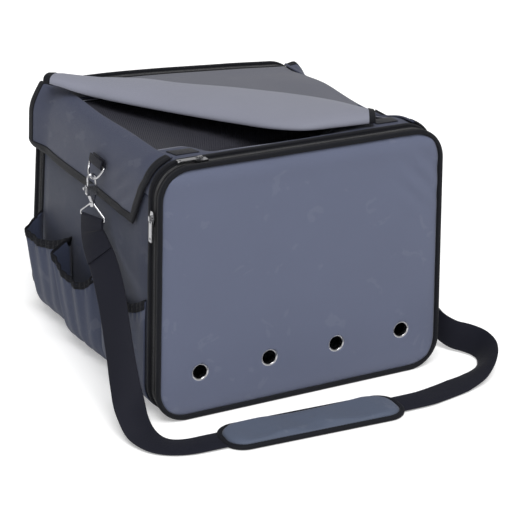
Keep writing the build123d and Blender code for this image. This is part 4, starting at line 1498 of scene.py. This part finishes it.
def saddle_point(side, u, v, proud=0.0, grow=0.0):
    """A point of a saddle flap: u from front to back, v from its hanging edge up to the window."""
    raised = SADDLE_LOW + mix(SADDLE_RAISED_FRONT, SADDLE_RAISED_BACK, u)
    over_hem = SADDLE_OVER_HEM if side < 0 else 0.0
    x, z, out_x, out_z = SADDLE_LINE.at(mix(raised, SADDLE_HIGH + over_hem, v))
    y = mix(saddle_front(z) - grow, saddle_back(x, z) + grow, u)
    held = bell(y, RING_Y, HOOK_HOLD)
    wave = SADDLE_WAVE * (1 - v) ** 2 * math.sin(y * 34 + side) * (1 - held)
    wave += SADDLE_UNEVEN * ripple(x * side, y, z, 0.06, 3 + side)
    dip = SADDLE_HOLLOW * ease((v - 0.45) * 2.2) * math.sin(math.pi * clamp(u))
    dip *= 1.0 if side > 0 else 0.45
    flare = SADDLE_FLARE * rising(u, 0.86, 1.0) * ease(v * 5 + 0.35) * falling(v, 0.80, 0.925)
    creases = SADDLE_CREASE * math.sin((y * 0.6 + z) * 260) * bell(y, -0.12, 0.03) * ease(2 - 2.4 * v)
    lift = SADDLE_STANDING + proud + wave * (1 - 0.5 * held) + flare + creases
    return Vector((side * (x + out_x * lift), y + 0.3 * flare, z + out_z * lift - dip))


class BAG_OT_saddles(bpy.types.Operator):
    """Drape the padded saddle flaps over both shoulders and bind their edges"""

    bl_idname = "bag.saddles"
    bl_label = "Saddle flaps"

    def execute(self, context):
        shape, colours = context.scene.bag_shape, context.scene.bag_colours
        nylon = cloth("saddle_nylon", colours.saddle, rubbed=0.04, unevenness=0.12, sheen=0.10)
        binding = binding_cloth(colours)
        for name, side in SIDES:
            def place(u, v, side=side):
                return saddle_point(side, mix(0.006, 0.994, u), mix(0.02, 1, v))

            flap = surface(f"{name}_saddle_cloth", 110, 60, place, (SADDLE_LENGTH, 0.13))
            thicken(flap, shape.saddle_thickness)
            dress(flap, "bag", "saddle_nylon", nylon, f"{name}_saddle_flap")
            edge = self.bound_edge(name, side)
            dress(edge, "bag", "black_binding", binding, f"{name}_saddle_binding")
        return {"FINISHED"}

    def bound_edge(self, name, side):
        """Black tape folded over the front, hanging and rear edges."""
        bound_u = SADDLE_BOUND / SADDLE_LENGTH
        bound_v = SADDLE_BOUND / (SADDLE_HIGH - SADDLE_LOW)
        top_front, top_back = 0.97, 0.92

        def place(u, v):
            inward = 1 - abs(2 * v - 1)
            if u < 0.25:
                share = u / 0.25
                outer = (0.0, mix(top_front, 0.0, share))
                inner = (bound_u, mix(top_front, bound_v, share))
            elif u < 0.75:
                share = (u - 0.25) / 0.5
                outer = (share, 0.0)
                inner = (mix(bound_u, 1 - bound_u, share), bound_v)
            else:
                share = (u - 0.75) / 0.25
                outer = (1.0, mix(0.0, top_back, share))
                inner = (1 - bound_u, mix(bound_v, top_back, share))
            spot = (mix(outer[0], inner[0], inward), mix(outer[1], inner[1], inward))
            puff = 0.0007 * quarter_rise(3 * inward)
            closing = SADDLE_STANDING / 2 * clamp(1 - 4 * inward) ** 2
            proud = puff - closing if v >= 0.5 else closing - SADDLE_STANDING - 0.4 * puff
            return saddle_point(side, *spot, proud=proud, grow=0.0006)

        return surface(f"{name}_saddle_edge", 260, 12, place, (0.62, 0.02), closed=True)


# The line round the bag that the pockets stand on
POCKET_LINE = Outline(0.0012)
POCKET_FOOT = POCKET_LINE.height(0.006)


def pocket_point(side, u, v, proud=0.0):
    """A point of the pocket sheet: u from back to front, v from its foot up to its sagging mouths."""
    y = mix(POCKET_SEAMS[0], POCKET_SEAMS[-1], u)
    k = next(j for j in range(3) if y >= POCKET_SEAMS[j + 1] - 1e-9)
    local = (POCKET_SEAMS[k] - y) / (POCKET_SEAMS[k] - POCKET_SEAMS[k + 1])
    skewed = local ** POCKET_SKEWS[k]
    arch = 4 * skewed * (1 - skewed)
    box = min(1.0, local / 0.10) ** 0.6 * (1 - local) ** (0.55 if k < 2 else 0.8)
    mouth = POCKET_TOPS[k] - POCKET_SAGS[k] * arch ** 0.9
    top = POCKET_LINE.height(mouth)
    x, z, out_x, out_z = POCKET_LINE.at(mix(POCKET_FOOT, top, v))
    climb = clamp((z - 0.02) / 0.13)
    belly = (POCKET_LEAST_BELLY + POCKET_BULGES[k] * (0.18 + 0.82 * climb ** 0.6)) * box
    folds = POCKET_FOLD * math.sin(local * 23 + k * 2 + side) * arch * ease(v * 3)
    folds += POCKET_UNEVEN * ripple(local * 0.3, z * 0.35, k, 0.05, 6 + side) * ease(arch * 3)
    gather = POCKET_GATHER * math.sin(y * GATHER_TURNS) * ease((v - 0.80) * 5)
    lift = belly + folds * (0.35 + 0.65 * v) + gather + proud + POCKET_STANDING
    return Vector((side * (x + out_x * lift), y, max(z + out_z * lift, 0.002)))


class BAG_OT_pockets(bpy.types.Operator):
    """Gather the side pockets under their elastic mouths"""

    bl_idname = "bag.pockets"
    bl_label = "Side pockets"

    def execute(self, context):
        colours = context.scene.bag_colours
        nylon = cloth("pocket_nylon", colours.pocket, rubbed=0.05, unevenness=0.14)
        elastic = cloth("elastic_tape", colours.binding, ribs=1200.0, depth=0.0005, sheen=0.03, gloss=0.08)
        for name, side in SIDES:
            def place(u, v, side=side):
                return pocket_point(side, u, 0.985 * v)

            sheet = surface(f"{name}_pocket_cloth", 230, 60, place, (POCKET_WIDTH, 0.15))
            thicken(sheet, POCKET_THICK, offset=1.0)
            dress(sheet, "bag", "pocket_nylon", nylon, f"{name}_pocket_panel")

            def mouth(u, v, side=side):
                inward = 1 - abs(2 * v - 1)
                depth = POCKET_BOUND / POCKET_DEPTH * inward * (1.0 if v >= 0.5 else 0.35)
                puff = 0.0006 * quarter_rise(3 * inward)
                closing = 0.00095 * clamp(1 - 4 * inward) ** 2
                proud = 0.0016 + puff - closing if v >= 0.5 else closing - 0.0003
                return pocket_point(side, u, 1 - depth + 0.006, proud)

            band = surface(f"{name}_pocket_elastic", 300, 10, mouth, (POCKET_WIDTH, 0.02), closed=True)
            dress(band, "bag", "black_binding", elastic, f"{name}_pocket_binding")
        return {"FINISHED"}


def along_points(points, share):
    """A point at a share of the length of a smooth line through plan points."""
    marks = [0.0]
    for a, b in zip(points, points[1:]):
        marks.append(marks[-1] + math.dist(a, b))
    reach = clamp(share) * marks[-1]
    k = max(j for j in range(len(points) - 1) if marks[j] <= reach)
    t = (reach - marks[k]) / (marks[k + 1] - marks[k])
    before, a = Vector(points[max(k - 1, 0)]), Vector(points[k])
    b, after = Vector(points[k + 1]), Vector(points[min(k + 2, len(points) - 1)])
    rise_a, rise_b = (b - before) / 2, (after - a) / 2
    spot = a * (2 * t**3 - 3 * t**2 + 1) + rise_a * (t**3 - 2 * t**2 + t)
    spot += b * (3 * t**2 - 2 * t**3) + rise_b * (t**3 - t**2)
    return Vector((spot.x, spot.y, 0))


def flap_section(u, v, crown, proud=0.0):
    """A point of the folded part: u from its left end to its right, v round its flattened section."""
    front, ridge = along_points(FLAP_FRONT, u), along_points(FLAP_RIDGE, u)
    c, s = math.cos(2 * math.pi * v), math.sin(2 * math.pi * v)
    across = 0.5 - 0.5 * c
    plan = front.lerp(ridge, across)
    way = (ridge - front).normalized()
    plan -= way * proud * c
    ends = 0.72 + 0.28 * ease(min(u, 1 - u) * 7)
    floor = FLAP_LOW.z + FLAP_STANDING
    body = crown * ends
    if s >= 0:
        lean = 1 + 0.25 * c
        rise = abs(s) ** FLAP_UPPER_ROUND * body * lean
        rise += 0.0006 * ripple(plan.x, plan.y, 0, 0.07, 5) * abs(s)
        rise += 0.0010 * abs(s) * math.sin((plan.x - plan.y) * 26) * bell(across, 0.3, 0.3)
    else:
        rise = -(0.0012 + 0.85 * sunk(plan.x, plan.y, HEIGHT)) * abs(s) ** FLAP_UNDER_ROUND
    rise -= 0.0030 * math.sin(math.pi * u) * (1 - across) ** 2
    rise += FLAP_LEFT_STAND * ease((0.16 - u) / 0.16)
    return Vector((plan.x, plan.y, floor + body * 0.22 + rise + proud * s))


class BAG_OT_cover_flap(bpy.types.Operator):
    """Fold the cover flap diagonally back over the roof"""

    bl_idname = "bag.cover_flap"
    bl_label = "Cover flap"

    def execute(self, context):
        shape, colours = context.scene.bag_shape, context.scene.bag_colours
        # The flap colour holds painted light on the fold's top besides the cloth's own paler colour
        nylon = cloth("flap_nylon", colours.flap, unevenness=0.07, sheen=0.12)
        binding = binding_cloth(colours)
        crown = shape.flap_crown

        def front_edge(x):
            k = 1 + sum(x > point[0] for point in FLAP_UNDER[1:-1])
            (left, far), (right, near) = FLAP_UNDER[k - 1 : k + 1]
            return mix(far, near, (x - left) / (right - left))

        def flat(u, v):
            x = mix(FLAP_LEFT, FLAP_RIGHT, u)
            y = mix(FLAP_HINGE, front_edge(x), v)
            rise = 0.0016 * ripple(x, y, 0, 0.06, 8) + 0.0018 * ease((x - 0.06) / 0.1) * math.sin(y * 30 + 1)
            rise += 0.0022 * ease(v * 4) * bell(x, 0.13, 0.03)
            return Vector((x, y, FLAP_LOW.z + mix(0.0012, 0.0032, ease(v * 3)) + rise * ease(v * 8)))

        under = surface("cover_flap_flat", 90, 80, flat, (0.31, 0.30))
        flat_uv(under, (0, 1))
        thicken(under, FLAP_THICK)
        dark = cloth("flap_nylon_low", tuple(0.52 * c for c in colours.flap), unevenness=0.08)
        dress(under, "cover_flap", "flap_nylon", dark)

        def folded(u, v):
            return flap_section(mix(0.008, 0.992, u), v, crown)

        band = surface("cover_flap_fold", 150, 44, folded, (0.42, 0.24), closed=True, capped=True)
        flat_uv(band, (0, 1))
        dress(band, "cover_flap", "flap_nylon", nylon, "cover_flap")

        for name, low, high in (("left", 0.0, 0.026), ("right", 0.974, 1.0)):
            def bound(u, v, low=low, high=high):
                across = abs(2 * u - 1)
                puff = FLAP_PUFF if across < 0.999 else 0.0
                return flap_section(mix(low, high, u), v, crown, proud=puff)

            tape = surface(
                f"cover_flap_{name}_end", 10, 44, bound, (0.012, 0.24), closed=True, capped=True
            )
            nodes = ["cover_flap_binding"] if name == "left" else []
            dress(tape, "cover_flap", "black_binding", binding, *nodes)
        return {"FINISHED"}


class BAG_OT_cushion(bpy.types.Operator):
    """Fill the floor cushion by cloth simulation and lay it on its board"""

    bl_idname = "bag.cushion"
    bl_label = "Floor cushion"

    def execute(self, context):
        shape, colours = context.scene.bag_shape, context.scene.bag_colours
        low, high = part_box("floor_cushion")
        middle = (low + high) / 2
        size = high - low - Vector((2 * CUSHION_FILL, 2 * CUSHION_FILL, 0.012))
        bm = bmesh.new()
        add_block(bm, (middle.x, middle.y, low.z + 0.003 + size.z / 2), size)
        soften(bm, 0.009, 3)
        cushion = new_object("cushion_fleece", bm)
        self.fill(context, cushion, shape.sim_frames, CUSHION_FILL)
        self.keep_inside(cushion, low, high)
        flat_uv(cushion, (0, 1))
        fleece = cloth(
            "fleece", colours.lining, threads=500.0, depth=0.0012, unevenness=0.3, sheen=0.8, soft=0.002
        )
        dress(cushion, "bag", "cushion_fleece", fleece, "floor_cushion")
        return {"FINISHED"}

    def fill(self, context, piece, frames, cap):
        """Blow the cushion up under pressure, and stop any point that would move too far."""
        context.view_layer.objects.active = piece
        piece.select_set(True)
        remesh = piece.modifiers.new("voxels", "REMESH")
        remesh.mode = "VOXEL"
        remesh.voxel_size = 0.006
        bpy.ops.object.modifier_apply(modifier=remesh.name)
        start = [vertex.co.copy() for vertex in piece.data.vertices]
        cloth_mod = piece.modifiers.new("filling", "CLOTH")
        cloth_mod.settings.use_pressure = True
        cloth_mod.settings.uniform_pressure_force = 4.0
        cloth_mod.settings.effector_weights.gravity = 0.0
        for number in range(1, frames + 1):
            context.scene.frame_set(number)
        evaluated = piece.evaluated_get(context.evaluated_depsgraph_get())
        moved = [vertex.co.copy() for vertex in evaluated.data.vertices]
        piece.modifiers.remove(cloth_mod)
        for vertex, before, after in zip(piece.data.vertices, start, moved):
            step = after - before
            if step.length > cap:
                step = step.normalized() * cap
            vertex.co = before + step
        context.scene.frame_set(1)
        for polygon in piece.data.polygons:
            polygon.use_smooth = True

    def keep_inside(self, piece, low, high):
        """Hold every point inside the space that the bag leaves for the cushion."""
        for vertex in piece.data.vertices:
            for axis in range(3):
                vertex.co[axis] = clamp(vertex.co[axis], low[axis], high[axis])


class BAG_OT_settle(bpy.types.Operator):
    """Let the roof cloth sink, dip and draw in as the empty bag does"""

    bl_idname = "bag.settle"
    bl_label = "Settle the roof"

    def execute(self, context):
        laid = ["roof_cloth", "window_net", "window_binding", "window_selvedge", "hook_patches"]
        laid += [f"{side}_saddle_{part}" for side in ("left", "right") for part in ("cloth", "edge")]
        hung = ["back_panel_cloth", "right_side_cloth", "left_side_cloth", "cover_flap_flat"]
        hung += [f"back_{who}_{part}" for who in ("door", "body") for part in ("edge", "tape", "teeth")]
        for name in laid + hung + ["saddle_stitches"]:
            for vertex in bpy.data.objects[name].data.vertices:
                x, y, z = vertex.co
                vertex.co.z = z - sunk(x, y, z)
                if name in laid:
                    vertex.co.z -= border_dip(x, y, z)
                    vertex.co.x = x - edge_pull(x, y, z)
        return {"FINISHED"}


class BAG_OT_ring_tabs(bpy.types.Operator):
    """Loop the webbing tabs round the D-rings' bars"""

    bl_idname = "bag.ring_tabs"
    bl_label = "D-ring tabs"

    def execute(self, context):
        colours = context.scene.bag_colours
        webbing = webbing_cloth(colours)
        radius, inset, height = 0.0028, 0.0038, 0.0088
        for name, side in SIDES:
            low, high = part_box(f"{name}_ring_tab")
            bar = Vector((side * (max(abs(low.x), abs(high.x)) - inset), RING_Y, low.z + inset))
            climb = Vector((-side * TOP_DRAW / HEIGHT, 0, 1)) * height
            path = []
            for k in range(6):
                path.append(bar + Vector((-side * radius, 0, 0)) + climb * (1 - k / 5))
            for k in range(1, 12):
                angle = math.pi * k / 12
                path.append(bar + Vector((-side * radius * math.cos(angle), 0, -radius * math.sin(angle))))
            for k in range(6):
                out = Vector((side * radius * (1 - 0.55 * ease(k / 5)), 0, 0))
                path.append(bar + out + climb * (k / 5))
            edges = [Vector((0, 1, 0))] * len(path)
            tab = ribbon(f"{name}_tab_webbing", path, edges, WEBBING - 0.0002, 0.0019)
            dress(tab, "bag", "webbing", webbing, f"{name}_ring_tab")
        return {"FINISHED"}


class BAG_OT_hardware(bpy.types.Operator):
    """Plate the metal parts and finish the board"""

    bl_idname = "bag.hardware"
    bl_label = "Metal and board"

    def execute(self, context):
        metal = context.scene.bag_colours.metal
        finishes = {
            plated("nickel_plate", metal): [
                *(f"{side}_{part}" for side, _ in SIDES for part in ("d_ring", *HOOK_PARTS)),
                "strap_adjuster",
                "eyelets",
                "eyelet_washers",
            ],
            plated("zip_plate", tuple(0.85 * value for value in metal)): [
                f"{zip_run}_{part}"
                for zip_run in ("front_side", "front_top", "back")
                for part in ("slider", "pull")
            ],
            moulded("stiff_board", (0.016, 0.017, 0.019), 0.6): ["base_board"],
        }
        for material, nodes in finishes.items():
            for node in nodes:
                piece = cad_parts[node]
                piece.data.materials.clear()
                piece.data.materials.append(material)
        return {"FINISHED"}


class BAG_OT_stitching(bpy.types.Operator):
    """Sew the visible rows of stitches"""

    bl_idname = "bag.stitching"
    bl_label = "Stitches"

    def execute(self, context):
        pitch = context.scene.bag_shape.stitch_pitch
        rows = []
        steps = [k / 90 for k in range(91)]
        for side in (-1, 1):
            hanging = [saddle_point(side, mix(0.035, 0.965, step), 0.055, 0.0007) for step in steps]
            rows.append([(point, Vector((side, 0, 0))) for point in hanging])
            front = [saddle_point(side, 0.022, mix(0.70, 0.06, step), 0.0007) for step in steps]
            rows.append([(point, Vector((side, 0, 0.3))) for point in front])
        stitches("saddle_stitches", rows, pitch, "bag")
        rows = []
        for side in (-1, 1):
            out = Vector((side, 0, 0))
            for seam in POCKET_SEAMS[1:3]:
                share = (POCKET_SEAMS[0] - seam) / POCKET_WIDTH + 0.0015
                rows.append([(pocket_point(side, share, k / 20, 0.0016), out) for k in range(20)])
            rows.append([(pocket_point(side, k / 120, 0.955, 0.0024), out) for k in range(121)])
        stitches("pocket_stitches", rows, pitch, "bag")
        self.pad_row(pitch)
        return {"FINISHED"}

    def pad_row(self, pitch):
        """The row that holds the pad's binding."""
        run = []
        inset = PAD_BOUND * 0.75
        for k in range(161):
            spot, _ = rounded_plan(k / 160, PAD_LENGTH / 2 - inset, PAD_WIDTH / 2 - inset, PAD_CORNER - inset)
            run.append((pad_point(spot.x, spot.y, PAD_FLOOR + PAD_EDGE + 0.0006), Vector((0, 0, 1))))
        stitches("pad_stitches", [run], pitch, "shoulder_pad")


class BAG_PT_panel(bpy.types.Panel):
    """The bag's pieces, sizes and colours"""

    bl_idname = "BAG_PT_panel"
    bl_label = "Pet Bag"
    bl_space_type = "VIEW_3D"
    bl_region_type = "UI"
    bl_category = "Pet Bag"

    def draw(self, context):
        for operator in OPERATORS:
            self.layout.operator(operator.bl_idname)
        for group in (context.scene.bag_shape, context.scene.bag_colours):
            for name in group.__annotations__:
                self.layout.prop(group, name)


OPERATORS = (
    BAG_OT_stage,
    BAG_OT_pad,
    BAG_OT_strap,
    BAG_OT_end_bands,
    BAG_OT_end_panels,
    BAG_OT_walls,
    BAG_OT_window,
    BAG_OT_saddles,
    BAG_OT_pockets,
    BAG_OT_cover_flap,
    BAG_OT_cushion,
    BAG_OT_ring_tabs,
    BAG_OT_hardware,
    BAG_OT_stitching,
    BAG_OT_settle,
)
CLASSES = (BagShape, BagColours, *OPERATORS, BAG_PT_panel)


def register():
    for item in CLASSES:
        bpy.utils.register_class(item)
    bpy.types.Scene.bag_shape = PointerProperty(type=BagShape)
    bpy.types.Scene.bag_colours = PointerProperty(type=BagColours)


def unregister():
    del bpy.types.Scene.bag_colours
    del bpy.types.Scene.bag_shape
    for item in reversed(CLASSES):
        bpy.utils.unregister_class(item)


def corners(box):
    """A box's two corners as plain numbers."""
    return [[round(value, 6) for value in corner] for corner in box]


def main():
    register()
    for operator in OPERATORS:
        section, name = operator.bl_idname.split(".")
        getattr(getattr(bpy.ops, section), name)()
    {"cad": corners(CAD_BOX), "visual": corners(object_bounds())}


if __name__ == "__main__":
    main()
